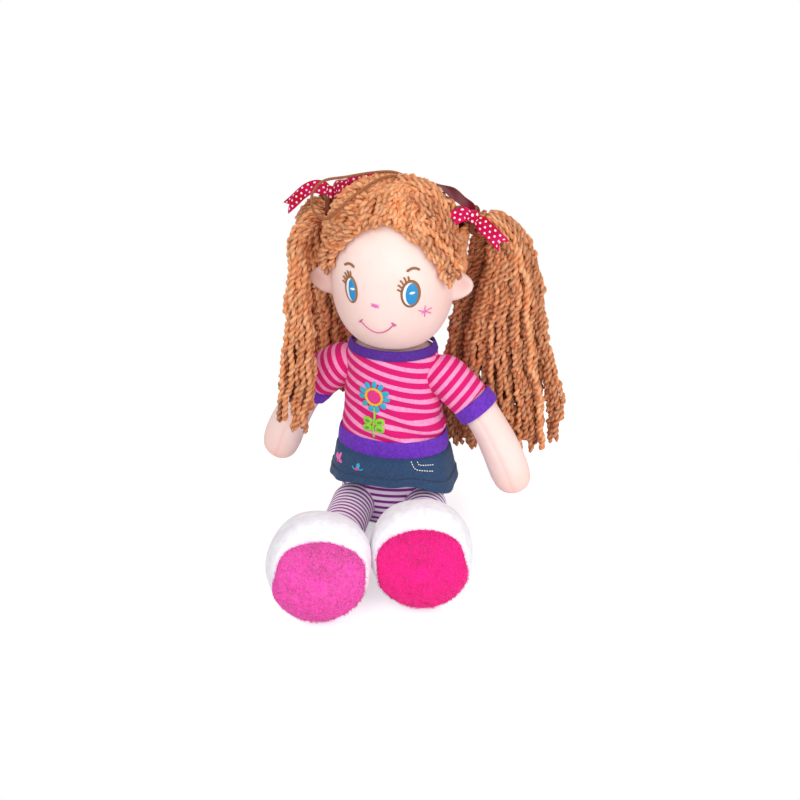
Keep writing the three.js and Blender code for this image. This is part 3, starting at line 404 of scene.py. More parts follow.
def cloth(name, colours, bumps, tints=(), drift=(3, 1), roughness=0.85, **inputs):
    """A finish of two colours that drift into each other, with bumps of (size, depth) in mm.

    drift is the size of the spots and how far they reach the second colour. Each tint is (layer,
    low, high, colour, loose): where that layer of numbers on the piece rises from low to high, the
    colour comes in. With loose, the layer counts half repeats, folded into stripes, and loose is
    how ragged their edges are.
    """
    made = bpy.data.materials.new(name)
    tree = bare_tree(made)
    place = add(tree, "TexCoord").outputs["Object"]
    spots = {"Vector": place, "Scale": per(drift[0]), "Detail": 3}
    spots = add(tree, "TexNoise", spots).outputs["Fac"]
    mix = {"Value": spots, "From Min": 0.35, "From Max": 0.65, "To Max": drift[1]}
    base = {0: add(tree, "MapRange", mix).outputs[0], 6: linear(colours[0]), 7: linear(colours[1])}
    base = add(tree, "Mix", base, data_type="RGBA").outputs[2]
    for layer, low, high, colour, loose in tints:
        mark = add(tree, "Attribute", attribute_name=layer).outputs["Fac"]
        if loose is not None:
            ragged = add(tree, "Math", {0: spots, 1: loose, 2: mark}, operation="MULTIPLY_ADD")
            mark = {0: ragged.outputs[0], 1: 1.0}
            mark = add(tree, "Math", mark, operation="PINGPONG").outputs[0]
        share = add(tree, "MapRange", {"Value": mark, "From Min": low, "From Max": high}).outputs[0]
        base = {0: share, 6: base, 7: linear(colour)}
        base = add(tree, "Mix", base, data_type="RGBA").outputs[2]
    normal = {}
    for size, depth in bumps:
        grain = {"Vector": place, "Scale": per(size), "Detail": 2, "Roughness": 0.6}
        grain = add(tree, "TexNoise", grain).outputs["Fac"]
        bump = add(tree, "Bump", {"Height": grain, "Distance": depth * MM, **normal})
        normal = {"Normal": bump.outputs[0]}
    inputs = {"Base Color": base, "Roughness": roughness, **normal, **inputs}
    surface = add(tree, "BsdfPrincipled", inputs).outputs[0]
    add(tree, "OutputMaterial", {"Surface": surface})
    return made


def sheen(weight, colour="#ffffff"):
    """The settings of a fuzzy or napped cloth's soft rim of light."""
    return {"Sheen Weight": weight, "Sheen Roughness": 0.45, "Sheen Tint": linear(colour)}


# Brushed jersey of the skin: a fine even knit, pale, airbrushed a little pinker at the edges, where
# the pink is also painted shade
skin = cloth("brushed_jersey", ("#fbe3dc", "#f9dcd3"), [(0.7, 0.12), (9, 0.4)],
             [("blush", 0, 1, "#f2a89a", None)], drift=(14, 0.6), **sheen(0.2))
# Stretch velour: a short cut pile, lighter in spots where it lies over and catches the light, a
# painted sheen; hot pink stripes on pale pink
striped_velour = cloth("striped_velour", ("#ffa9d2", "#f88fc6"), [(0.8, 0.45), (4, 0.5)],
                       [("stripe", 0.37, 0.46, "#de0071", 0.12)], drift=(2.2, 0.8), roughness=0.9,
                       **sheen(0.06, "#ffa0d4"))
# Purple velour, flecked lighter where the pile catches the light: a painted highlight
purple_velour = cloth("purple_velour", ("#5f22ac", "#7634c6"), [(0.8, 0.5), (4, 0.5)],
                      drift=(1.8, 1), roughness=0.9, **sheen(0.3, "#b48cff"))
# A darker copy of the purple binding for the collar: painted shade under the chin
shaded_velour = cloth("collar_velour_painted_shade", ("#481a84", "#572898"), [(0.8, 0.5)],
                    drift=(1.8, 1), roughness=0.9, **sheen(0.25, "#9a78e0"))
white_velour = cloth("white_velour", ("#fbf8fc", "#f1ecf6"), [(0.9, 0.5), (6, 0.6)],
                     drift=(5, 1), roughness=0.95, **sheen(0.2))
# Long-pile plush of the soles: each fibre is lighter at its tip than at the backing, a painted
# sheen, and fibres differ in tone at random
plush = cloth("pink_plush", ("#ff0790", "#f80086"), [(0.6, 0.5), (2.5, 0.5)],
              [("tone", 0.1, 1.0, "#ff62ba", None)], drift=(2, 0.8), roughness=0.9,
              **sheen(0.08, "#ff80cc"))
# The other sole: the same plush painted lighter all over, a painted sheen where its pile catches
# the light
sheen_lit_plush = cloth("pink_plush_painted_sheen", ("#fd55bd", "#f23cae"), [(0.6, 0.5), (2.5, 0.6)],
                   [("tone", 0.1, 1.0, "#ffa0da", None)], drift=(2, 1), roughness=0.9,
                   **sheen(0.1, "#ffa0dc"))
# Denim: indigo twill, whose slanting ribs are drawn coarser than the real 0.7 mm so that they show
denim = cloth("indigo_denim", ("#123056", "#1c4062"), [(0.7, 0.3), (5, 0.6)],
              [("twill", 0.55, 1.15, "#44658c", 0.6)], drift=(2.4, 1), **sheen(0.1))
# Tights: a fine flat knit with narrow rings
tights = cloth("striped_tights", ("#fff2fe", "#f9e8fa"), [(0.7, 0.15)],
               [("stripe", 0.5, 0.6, "#84238c", 0.03)], drift=(3, 0.6), roughness=0.8,
               **sheen(0.15))
# Two-ply acrylic yarn: fuzzy, warm in the light, and painted nearly red-brown as shade between its
# plies and on strands deep in a bunch
yarn_finish = cloth("copper_yarn", ("#ffbe8a", "#f69b62"), [(0.5, 0.35)],
                    [("hollow", 0.16, 0.85, "#6e1f0c", None)], drift=(6, 1), roughness=0.8,
                    **sheen(0.12, "#ffc090"))
# Plain, matt cloth under the yarn, darker than it: a painted shade that shows in the yarn's gaps
shade_backing_finish = cloth("hair_shade_backing", ("#7b3820", "#672a17"), [(1.2, 0.6)], roughness=0.95)
# Satin ribbon printed with white dots. Its colour drifts between crimson and magenta, painted light
# and shade on one satin; its back is duller, and painted darker as shade
satin = cloth("dotted_satin", ("#b8052c", "#d00c5a"), [(7, 0.4)],
              [("dot", 0.4, 0.6, "#ffe8f2", None), ("back", 0.4, 0.6, "#64061a", None)],
              drift=(9, 1), roughness=0.5, **{"Specular IOR Level": 0.1})
# Braided cotton cord: matt, of two near browns
cord_finish = cloth("brown_braid", ("#a9693f", "#8d4f2b"), [(0.5, 0.3)], drift=(1.1, 1),
                    roughness=0.75)
# Covered elastic: a matt band of the hair's own brown
elastic = cloth("hair_tie_elastic", ("#8a4a2c", "#713820"), [(0.5, 0.3)], drift=(1.5, 1),
                roughness=0.8)

# Rayon embroidery thread: bright, with a soft gloss, and a darker line between its stitches that is
# painted shade in their grooves
THREAD_COLOURS = {
    "brown_thread": ("#9a6630", "#6d4019"), "blue_thread": ("#1492d0", "#0a6ca6"),
    "white_thread": ("#fbfbfd", "#d6dbe8"), "pink_thread": ("#ef7cc0", "#cf55a0"),
    "rose_thread": ("#d9609c", "#b54484"), "turquoise_thread": ("#24b4d6", "#1284aa"),
    "yellow_thread": ("#f8bb28", "#d08c10"), "magenta_thread": ("#ee2890", "#b80e68"),
    "green_thread": ("#98dc34", "#5aa018"), "dark_green_thread": ("#5f9e1e", "#3f7810"),
    "indigo_thread": ("#16243c", "#0c1526"),
}
threads = {name: cloth(name, (colour, colour), [(0.4, 0.12)], [("stitch", 0.5, 1.0, shade, 0.2)],
                       drift=(2, 1), roughness=0.45, **sheen(0.1))
           for name, (colour, shade) in THREAD_COLOURS.items()}


# The hanging loop: a thin braided cord, sewn into the hair at the parting

LOOP_ROUTE = [
    (12.5, 9, 247.6), (3.5, 8, 252.2), (-4.5, 6, 254), (-17, 2, 253), (-29.5, -7, 251.7),
    (-45, -9.5, 248.3), (-51, -15, 241), (-49, -21, 233), (-43, -27.5, 229.8), (-34.5, -32, 229.8),
    (-27, -34, 235.5), (-21, -31.5, 242), (-12.5, -25.5, 249), (-6.5, -17, 253), (-0.5, -7, 254.4),
    (7.5, 4.5, 251.6), (10.2, 8.6, 247.8),
]
CORD_DIAMETER = 2.0
BRAID_REPEAT = 1.7
route = on_chest(evenly(LOOP_ROUTE, 220))
braid = np.sin(run_of(route) / BRAID_REPEAT * 2 * np.pi)
braided = tubes(route, CORD_DIAMETER / 2 * (0.94 + 0.06 * braid), sides=10, reference=(0, 1, 0.4))
loop = piece("hanging_cord", braided, finish=cord_finish, body="head",
             stands_for=["hanging_loop"], slot="brown_cord")


# The body under the clothes

BODY_HEIGHT, BODY_WIDE, BODY_DEEP = 132, 38, 30
BODY_LEVELS = [
    (0, 0.82, 0.76), (0.05, 0.95, 0.89), (0.16, 1, 0.95), (0.42, 0.99, 0.88), (0.62, 0.91, 0.85),
    (0.84, 0.85, 0.83), (0.99, 0.8, 0.8), (1, 0.5, 0.54),
]
WAIST = 52
TIGHTS_REPEAT = 4.9
SKIN_INSET = -0.1


def on_body(angle, height, growth):
    """Points round the body: at each height an ellipse of the level table, plus a growth.

    Towards the chest the ellipses turn with it.
    """
    wide, deep = np.moveaxis(rows_at(BODY_LEVELS, height / BODY_HEIGHT), -1, 0)
    x, y = np.cos(angle) * (BODY_WIDE * wide + growth), np.sin(angle) * (BODY_DEEP * deep + growth)
    return turned(xyz(x, y, height), CHEST_TURN * step(0.15, 0.6, height / BODY_HEIGHT))


sides = around(56)[None]
rise = np.linspace(WAIST + 0.4, 131.8, 34)[:, None]
torso = piece("torso_cloth", skins(on_body(sides, rise, SKIN_INSET), blush=0.25), finish=skin,
              body="torso", stands_for=["torso_skin", "body_stuffing"], slot="skin_cloth")
rise = np.linspace(0.2, WAIST, 24)[:, None]
hips = skins(on_body(sides, rise, SKIN_INSET), stripe=rise * 2 / TIGHTS_REPEAT)
hips = piece("hips_cloth", hips, finish=tights, body="torso", stands_for=["hips_skin"],
             slot="striped_tights")


# Shirt: two striped panels, sewn together at the sides, a bound neck and a waistband

STRIPE_REPEAT = 7.6
STRIPE_SLOPE = 0.22
SHIRT_LOW, SHIRT_HIGH = 68.4, 130.6
SHIRT_OUT, SHIRT_IN = 1.5, 0.3
SLANT_PITCH, SLACK_PITCH = 15, 27
WAISTBAND_LOW, WAISTBAND_HIGH = 57.3, 70.2
COLLAR_LOW, COLLAR_HIGH = 131.2, 137.6
COLLAR_WIDE, COLLAR_DEEP = 29.4, 24.4
# The shoulders' cloth inside the collar: half axes and height of each ring, and its thickness
SHOULDER_DOME = (28.6, 23.6, 131.0), (27, 22.2, 132.6), (22, 18, 133.6), (14, 12, 134), (2, 2, 134)
DOME_THICK = 2.0


def shirt_folds(across, height):
    """How far the cloth stands out: slanting folds, fewer high up, and a puff above the waist."""
    slant = np.sin((height * 0.8 + across * 0.5) * 2 * np.pi / SLANT_PITCH)
    slant = slant * step(-8, 20, across) * step(110, 84, height)
    slack = np.sin((height * 0.7 - across * 0.35) * 2 * np.pi / SLACK_PITCH + 1)
    slack = slack * step(4, -24, across) * step(118, 92, height)
    puff = step(70, 76, height) * step(96, 78, height)
    return 1.15 * slant + 0.7 * slack + puff - 0.2 * step(73.5, 69.8, height)


def on_shirt(angle, height, growth):
    """The shirt's cloth: the body's surface plus a growth and, on the outside, the folds."""
    across = np.cos(angle) * BODY_WIDE
    return on_body(angle, height, growth + shirt_folds(across, height) * (growth > 0.5))


def shirt_front(across, height, growth):
    """A point of the shirt's front by its place across the chest."""
    wide = BODY_WIDE * rows_at(BODY_LEVELS, height / BODY_HEIGHT)[..., 0] + SHIRT_OUT
    return on_shirt(-np.arccos(np.clip(across / wide, -1, 1)), height, growth)


rise = np.linspace(SHIRT_LOW, SHIRT_HIGH, 66)[:, None]
for label, start in ("front", -1), ("back", 0):
    turn = np.linspace(start * np.pi + 0.012, (start + 1) * np.pi - 0.012, 84)[None]
    across = np.cos(turn) * BODY_WIDE
    seam = 0.8 * bell(np.pi / 2 - np.abs(np.abs(turn) - np.pi / 2), 0.045)
    drawn = rise + STRIPE_SLOPE * across + 0.5 * shirt_folds(across, rise)
    shirt = panel(on_shirt(turn, rise, SHIRT_OUT - seam), on_shirt(turn, rise, SHIRT_IN),
                  stripe=2 * drawn / STRIPE_REPEAT)
    shirt = piece("shirt_" + label + "_panel", shirt, finish=striped_velour, body="torso",
                  stands_for=["shirt_" + label], slot="shirt_velour")


def bound_edge(section, low, high, inner, outer):
    """A soft rounded band: heights and growths round its section, flat inside and full outside."""
    swell = np.sin(section) * 0.5 + 0.5
    height = low + (high - low) * (0.5 + 0.5 * power(np.cos(section), 0.6))
    return height, inner + (outer - inner) * swell ** 0.55


section, turn = around(20)[:, None], around(120)[None]
height, growth = bound_edge(section, WAISTBAND_LOW, WAISTBAND_HIGH, 0.3, 3.1)
gather = 0.25 * np.sin(turn * 23 + np.sin(turn * 5)) * np.sin(section)
waistband = torus(on_body(turn, height, growth + gather))
waistband = piece("waistband_velour", waistband, finish=purple_velour, body="torso",
                  stands_for=["waistband"], slot="purple_binding")

wide, deep, height = np.array(SHOULDER_DOME).T[..., None]
dome = xyz(np.cos(turn) * wide, np.sin(turn) * deep, height)
dome = np.concatenate([dome, dome[::-1] - (0, 0, DOME_THICK)])
piece("shoulder_cloth", skins(on_chest(dome), blush=0.0), finish=skin, body="torso",
      slot="skin_cloth")
height, growth = bound_edge(section, COLLAR_LOW, COLLAR_HIGH, -0.4, 2.0)
drop = 1 - (height - COLLAR_LOW) / (COLLAR_HIGH - COLLAR_LOW)
growth = growth + 2.6 * drop - 1.4 + 0.15 * np.sin(turn * 31) * np.sin(section)
ring = xyz(np.cos(turn) * (COLLAR_WIDE + growth), np.sin(turn) * (COLLAR_DEEP + growth), height)
collar = piece("neck_binding", torus(on_chest(ring)), finish=shaded_velour, body="torso",
               stands_for=["collar_band"], slot="purple_binding")


# Denim skirt

SKIRT_TOP = 57.9
SKIRT_WIDE, SKIRT_DEEP = 39.8, 29.6
# For patterns and stitches, as if the skirt were a plain band: its radius and its slope's length
SKIRT_RADIUS, SKIRT_FALL = 43, 21
TWILL_REPEAT = 1.5


def on_skirt(angle, drop, growth):
    """Points of the skirt: an ellipse that widens in folds from the waist (drop 0) to the hem (1).

    In front the legs push the hem out and up, and at the doll's left it hangs in a deeper corner.
    """
    front = (1 - np.sin(angle)) / 2
    fold = 0.9 * drop * np.sin(7 * angle) + 0.5 * drop**2 * np.sin(13 * angle + 1.5)
    fold = fold + 0.35 * np.sin(angle * 9 + drop * 3)
    corner = bell(wrapped(angle + 0.5), 0.42)
    deep_hem = np.where(np.sin(angle) < 0, 46, 34) + 3 * corner
    tuck = 3.4 * step(0.12, -0.1, drop)
    wide = SKIRT_WIDE + (5.2 + 2.5 * corner) * drop - tuck
    deep = SKIRT_DEEP + (deep_hem - SKIRT_DEEP) * drop - tuck
    hem = 29 + 16 * front**2 - 7.5 * corner
    return xyz(np.cos(angle) * (wide + growth + fold), np.sin(angle) * (deep + growth + fold),
               SKIRT_TOP + (hem - SKIRT_TOP) * drop)


def skirt_patch(turn):
    """A surface for stitching on the skirt, across and up from a place at the waist."""
    middle = -np.pi / 2 + math.radians(turn)
    return lambda across, up, growth: on_skirt(
        middle + across / SKIRT_RADIUS, -up / SKIRT_FALL, growth)


turn, drop = around(220)[None], np.linspace(-0.12, 1, 34)[:, None]
hem = step(0.66, 0.72, drop) * step(1.03, 0.97, drop)
thick = 1.3 + 0.55 * hem - 0.25 * bell(drop - 0.68, 0.02)
twill = (turn * SKIRT_RADIUS + drop * 22) * 2 / TWILL_REPEAT
skirt = hoop(on_skirt(turn, drop, thick), on_skirt(turn, drop, 0.2), twill=twill)
skirt = piece("denim_skirt", skirt, finish=denim, body="torso", stands_for=["skirt"], slot="denim")


def stitches(surface, path, pitch, growth):
    """Sewing stitches along a flat path on a surface: short raised tubes with gaps between them."""
    share, width = 0.62, 0.85
    line = evenly(np.asarray(path, float), 400)
    run = run_of(line)
    starts = np.arange(0, run[-1] - pitch * share, pitch)[:, None]
    at = starts + np.linspace(0, pitch * share, 7)
    across, up = (np.interp(at, run, line[:, axis]) for axis in (0, 1))
    bow = np.sin(np.linspace(0, np.pi, 7))
    size = width / 2 * np.broadcast_to(0.5 + 0.5 * bow, at.shape)
    return tubes(surface(across, up, growth - 0.25 + 0.35 * bow), size, sides=6)


# The hem's path is in radians round the skirt and shares of its drop, and so is the stitches' pitch
hem_line = np.stack([np.linspace(0, 2 * np.pi, 105), np.full(105, 0.7)], -1)
piece("skirt_hem_stitches", stitches(on_skirt, hem_line, 0.06, 1.75),
      finish=threads["indigo_thread"], body="torso", slot="denim")


# Arms in short sleeves

SHOULDER = np.array((38, 0, 115.5))
ARM_OUT, ARM_DOWN = 55, 84
ARM_COURSE = (0, 0), (0.44, 0.27), (0.75, 0.6), (1, 1)
ARM_RADIUS = 12.8
ARM_LEVELS = [
    (0, 1.06), (0.1, 0.96), (0.22, 1.02), (0.4, 0.98), (0.56, 1.03), (0.7, 1.08), (0.82, 1.12),
    (0.9, 1.05), (1, 0.98),
]
SLEEVE_RADIUS, SLEEVE_THICK = 15.4, 1.1
CUFF_RADIUS, CUFF_THICK = 14.2, 1.35
# Steps of the arm's line under the sleeve and under the cuff
SLEEVE_STEPS, CUFF_STEPS = [2, 9, 18, 27], [27, 31, 35, 39]
# Places, across and up, where the sleeve starts and ends going over from the shoulder to the arm
BEND_START, BEND_END = (31, 116), (45, 111)


def sleeve_tube(line, outer):
    """A sleeve: a tube inside a tube, whose edges meet, striped square to the way it points."""
    _, up, across = frames(line, BACKWARD)
    angle = around(outer.shape[-1])[:, None]
    spoke = np.cos(angle) * across[:, None] + np.sin(angle) * up[:, None]
    walls = [line[:, None] + radius[..., None] * spoke for radius in (outer, outer - SLEEVE_THICK)]
    bend = 0.7 * np.sin(angle[:, 0] + 0.6)
    stripe = 2 * (walls[0] @ unit(line[-1] - line[4]) + bend) / (STRIPE_REPEAT * 0.86)
    return hoop(*(on_chest(wall) for wall in walls), stripe=stripe)


def cuff_ring(line):
    """A cuff: a gathered band round a straight line, boxy along it and rounded outwards."""
    along = unit(line[-1] - line[0])
    half = np.linalg.norm(line[-1] - line[0]) / 2
    section, turn = around(18)[:, None], around(72)
    spoke = np.cos(turn)[:, None] * np.cross(BACKWARD, along) + np.sin(turn)[:, None] * BACKWARD
    gather = 0.22 * np.sin(turn * 19 + np.sin(turn * 3)) * (np.sin(section) > 0)
    reach = CUFF_RADIUS + CUFF_THICK * np.sin(section) + gather
    shift = half * power(np.cos(section), 0.6)
    return line.mean(0) + along * shift[..., None] + reach[..., None] * spoke


for name, side in SIDES:
    course = [(side * (SHOULDER[0] + out * ARM_OUT), 0, SHOULDER[2] - down * ARM_DOWN)
              for out, down in ARM_COURSE]
    line, share, turn = evenly(np.array(course), 110), np.linspace(0, 1, 110), around(48)
    tip = np.clip(1 - np.clip((share - 0.89) / 0.11, 0, 1) ** 2, 0.0004, 1)[:, None] ** 0.4
    seam = bell(wrapped(turn + np.pi / 2 + 0.15), 0.09)
    uneven = 1 - 0.035 * seam * tip + 0.02 * limb_ripple(share, 100, turn, 12, 17, 11)
    # Pinker towards the hand, and along the seam, where it is painted shade in the seam's groove
    blush = 0.12 + 0.3 * step(0.72, 1, share)[:, None] + 0.2 * seam
    arm = tubes(on_chest(line), ARM_RADIUS * rows_at(ARM_LEVELS, share) * tip * uneven, sides=48,
                reference=on_chest(BACKWARD), flat=1 - 0.16 * step(0.6, 0.85, share), blush=blush)
    arm = piece(name + "_arm_cloth", arm, finish=skin, body=name + "_arm",
                stands_for=[name + "_arm_skin", name + "_arm_stuffing"], slot="skin_cloth")

    inward = (side * (SHOULDER[0] - 9), 0, SHOULDER[2] + 1.5)
    sleeve_line = evenly(np.concatenate([[inward], line[SLEEVE_STEPS]]), 40)
    ease = np.linspace(0, 1, 40)[:, None]
    rolled = sleeve_line[:, None] + 9 * np.stack([np.cos(turn), np.sin(turn), turn * 0], -1)
    gather = 0.35 * np.sin(turn * 6 + 1) * step(0.2, 1, ease) + 0.5 * ripple(rolled, 15, 5)
    over = np.clip(-side * np.cos(turn), 0, 1) * step(0.75, 0.25, ease)
    outer = SLEEVE_RADIUS - 0.6 * ease - 1.5 * over + gather - 2.2 * bell(ease - 0.02, 0.12)
    sleeve = piece(name + "_sleeve_velour", sleeve_tube(sleeve_line, outer), finish=striped_velour,
                   stands_for=[name + "_sleeve", name + "_armhole_facing"], slot="shirt_velour")
    start, end = (on_chest((side * out, 0, up)) * MM for out, up in (BEND_START, BEND_END))
    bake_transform(sleeve)

    cuff = torus(on_chest(cuff_ring(evenly(line[CUFF_STEPS], 10))))
    cuff = piece(name + "_cuff_velour", cuff, finish=purple_velour, body=name + "_arm",
                 stands_for=[name + "_cuff"], slot="purple_binding")


# Legs in striped tights, and big stuffed feet

LEG_LEVELS = [(0, 16), (0.3, 15.4), (0.6, 15.4), (1, 13.6)]
FOOT_WIDE, FOOT_HIGH, FOOT_DEEP = 33.5, 36, 46
FOOT_LEVELS = [
    (0, 0.4, 0.4), (0.09, 0.7, 0.68), (0.24, 0.9, 0.88), (0.5, 1, 1), (0.74, 0.965, 0.97),
    (0.89, 0.86, 0.87), (0.96, 0.68, 0.7), (1, 0.3, 0.3),
]
# Height of the lowest points over the shelf: upper, backing, the backing's inside, fibres
UPPER_FLOOR, BACKING_FLOOR, INNER_FLOOR, PILE_FLOOR = 0.05, 0.1, 0.6, 0.02
PILE_COUNT, PILE_LENGTH, PILE_WIDTH = 3400, 1.3, 0.5
PILE_LEAN = np.array((0.5, 0.0, -1.6))


def foot_places(middle, pitch, yaw, roll):
    """A function that pitches, rolls, turns and moves points of a foot's frame to the doll's."""
    a, b, c = (math.radians(value) for value in (-pitch, roll, yaw))
    about_x = np.array([(1, 0, 0), (0, math.cos(a), -math.sin(a)), (0, math.sin(a), math.cos(a))])
    about_y = np.array([(math.cos(b), 0, math.sin(b)), (0, 1, 0), (-math.sin(b), 0, math.cos(b))])
    about_z = np.array([(math.cos(c), -math.sin(c), 0), (math.sin(c), math.cos(c), 0), (0, 0, 1)])
    matrix = about_z @ about_y @ about_x
    return lambda points: points @ matrix.T + np.array(middle)


def on_foot(angle, share, growth):
    """Points of a foot, in its own frame: superellipses from heel (share 0) to sole (share 1).

    A growth pushes them out. The sole's lower edge is drawn in, as the heel of a stuffed foot is.
    """
    wide, high = np.moveaxis(rows_at(FOOT_LEVELS, share), -1, 0)
    exponent = 2 / np.where(np.sin(angle) < 0, 1.95, 2.25)
    c, s = power(np.cos(angle), exponent), power(np.sin(angle), exponent)
    heel = 10 * step(0.5, 1, share) * np.clip(-s * high, 0, 1) ** 2
    out = growth * step(0.5, 0.97, share) - heel
    return xyz(c * (FOOT_WIDE * wide + growth), FOOT_DEEP * (0.5 - share) - out,
               s * (FOOT_HIGH * high + growth))


def resting(points, lowest):
    """Points, none of them lower than a height."""
    points[..., 2] = np.maximum(points[..., 2], lowest)
    return points


def sole_surface(placed, turn, edge):
    """A function that gives places on a sole, by two numbers from 0 to 1, and how it faces there.

    The numbers give the turn and the distance from the middle, and the edge is a share of the
    foot's length at each turn. Near the middle the sole is taken to face straight ahead.
    """
    levels = np.linspace(0.5, 1, 300)
    widths = rows_at(FOOT_LEVELS, levels)[:, 0]

    def surface(u, v):
        """The places and the ways."""
        angle = u * 2 * np.pi
        limit = np.interp(angle, np.append(turn, 2 * np.pi), np.append(edge, edge[0]))
        width = np.sqrt(v) * rows_at(FOOT_LEVELS, limit)[:, 0]
        at = np.interp(-width, -widths, levels)
        spot, ahead, beside = (on_foot(angle + a, np.minimum(at, 0.99) + b, 0.8)
                               for a, b in ((0, 0), (0, 0.004), (0.02, 0)))
        rim = np.minimum(width / 0.5, 1)[:, None]
        facing = unit(np.cross(beside - spot, ahead - spot)) * rim - BACKWARD * (1 - rim)
        inside = np.minimum(width / 0.3, 1)
        spot = on_foot(angle, at, 0.8) * xyz(inside, 1, inside)
        return placed(spot), placed(unit(facing)) - placed(np.zeros(3))
    return surface


def pile(surface, draws):
    """Plush fibres: thin closed spikes that stand on a surface and lean, each of four triangles."""
    count = PILE_COUNT
    root, facing = surface(draws.random(count), draws.random(count))
    way = unit(0.8 * facing + draws.normal(0, 0.28, (count, 3)) + PILE_LEAN)
    aside = unit(np.cross(way, draws.normal(size=(count, 3))))
    third = np.cross(way, aside)
    size = PILE_LENGTH * draws.uniform(0.7, 1.15, (count, 1))
    corner = around(3)[:, None, None]
    base = root - 0.4 * facing + PILE_WIDTH / 2 * (np.cos(corner) * aside + np.sin(corner) * third)
    points = np.concatenate([base.transpose(1, 0, 2), (root + way * size)[:, None]], 1)
    points = resting(points, PILE_FLOOR).reshape(-1, 3)
    faces = np.array([(0, 1, 3), (1, 2, 3), (2, 0, 3), (0, 2, 1)])[None]
    faces = (faces + 4 * np.arange(count)[:, None, None]).reshape(-1, 3)
    # Each fibre's tone: random, plus a lighter tip that is painted sheen
    tone = draws.uniform(0.1, 0.55, (count, 1)) + np.array([[0, 0, 0, 0.4]])
    return points, *outward(points, np.zeros((0, 4), int), faces), {"tone": tone.ravel()}


# Each leg's hip and ankle, its foot's middle, pitch, yaw and roll, its plush, and its draws' seed
LEGS = [
    ("left", (25, -12, 17), (30, -98, 22), ((31, -114, 34.6), 12, 5, -8), plush, 31),
    ("right", (-25, -12, 17), (-33, -120, 22), ((-33, -136, 34.6), 12, 12, 10), sheen_lit_plush, 32),
]
for name, hip, ankle, foot, sole_plush, seed in LEGS:
    share, turn = np.linspace(0, 1, 90), around(44)
    line = np.array(hip) + (np.array(ankle) - hip) * share[:, None]
    top = np.sqrt(np.clip(1 - np.clip(1 - share / 0.14, 0, 1) ** 2, 0.1, 1))[:, None]
    seam = bell(wrapped(turn + np.pi / 2), 0.1)
    sag = 0.35 * limb_ripple(share, 110, turn, 15, 19, 21)
    wobble = 0.5 * np.sin(turn * 2 + share[:, None] * 7)
    stripe = 2 * (run_of(line)[:, None] + wobble) / TIGHTS_REPEAT + 0.3
    radius = rows_at(LEG_LEVELS, share) * top + sag - 0.3 * seam
    leg = piece(name + "_leg_tights", tubes(line, radius, sides=44, stripe=stripe), finish=tights,
                body=name + "_leg", stands_for=[name + "_leg_skin", name + "_leg_stuffing"],
                slot="striped_tights")

    placed, turn = foot_places(*foot), around(72)
    rise = np.sin(turn)
    edge = np.where(rise > 0, 0.9 + 0.068 * step(0, 1, rise), 0.9 - 0.29 * step(0, -1, rise))
    share = np.linspace(0, 1, 60)[:, None] * (edge + 0.012)
    gather = 0.9 * step(edge - 0.045, edge, share) * (0.8 + 0.2 * np.sin(turn * 29))
    pucker = 0.5 * ripple(on_foot(turn, share, 0), 13, 8) - gather
    upper = skins(resting(placed(on_foot(turn, share, pucker)), UPPER_FLOOR))
    upper = piece(name + "_foot_velour", upper, finish=white_velour, body=name + "_foot",
                  stands_for=[name + "_foot_upper", name + "_foot_stuffing"], slot="white_velour")

    share = edge + (1 - edge) * np.linspace(0, 1, 26)[:, None]
    dome = 0.5 * step(edge, edge + 0.03, share) - 0.8 * (share == edge)
    backing = resting(placed(on_foot(turn, share, dome)), BACKING_FLOOR)
    inner = resting(placed(on_foot(turn, share, -2.0)), INNER_FLOOR)
    tone = np.repeat([0, 0.1], [len(inner), len(backing)])[:, None]
    fibres = pile(sole_surface(placed, turn, edge), np.random.default_rng(seed))
    sole = skins(np.concatenate([inner[::-1], backing]), tone=tone)
    sole = piece(name + "_sole_plush", sole, fibres, finish=sole_plush, body=name + "_foot",
                 stands_for=[name + "_foot_sole"], slot="pink_plush")


# Head and ears

HEAD_WIDE, HEAD_DEEP, HEAD_HIGH = 43, 42, 56
HEAD_HALVES = np.array((HEAD_WIDE, HEAD_DEEP, HEAD_HIGH))
CHEEKS = -25, 27
# Each ear's side, how far it stands out, and how far its tip leans forward
EARS = ("left", 1, 25, 0), ("right", -1, 27, 5)


def on_head(points):
    """Points of the head's own frame, in the doll's."""
    return on_chest(turned(points, HEAD_TURN) + HEAD_PLACE)


def head_powers(height):
    """How square the head is: fuller below its middle than above."""
    return np.where(height < 0, 2.4, 2.08)


def skull(angle, level, growth):
    """Points of the head, in its frame, by a turn and a level from -1, the chin, to 1, the crown.

    Along a meridian the head is a superellipse, and round it an ellipse.
    """
    lift = level * np.pi / 2 * 0.985
    exponent = 2 / head_powers(level)
    spread = np.abs(np.cos(lift)) ** exponent
    return xyz(np.cos(angle) * spread * (HEAD_WIDE + growth),
               np.sin(angle) * spread * (HEAD_DEEP + growth),
               power(np.sin(lift), exponent) * (HEAD_HIGH + growth))


def head_relief(across, height):
    """How far the stuffed cloth stands out of the plain form."""
    return 0.4 * ripple(xyz(across, 0 * across, height), 24, 3)


def on_face(across, height, growth):
    """A point of the face, in the doll's frame, by its place across and up and a growth off it."""
    growth = growth + head_relief(across, height)
    exponent = head_powers(height)
    up = np.clip(np.abs(height) / (HEAD_HIGH + growth), 0, 0.999)
    spread = (1 - (up ** (exponent / 2)) ** 2) ** (1 / exponent)
    deep = np.sqrt(np.clip(spread**2 - (across / (HEAD_WIDE + growth)) ** 2, 0, 1))
    return on_head(xyz(across, -deep * (HEAD_DEEP + growth), height))


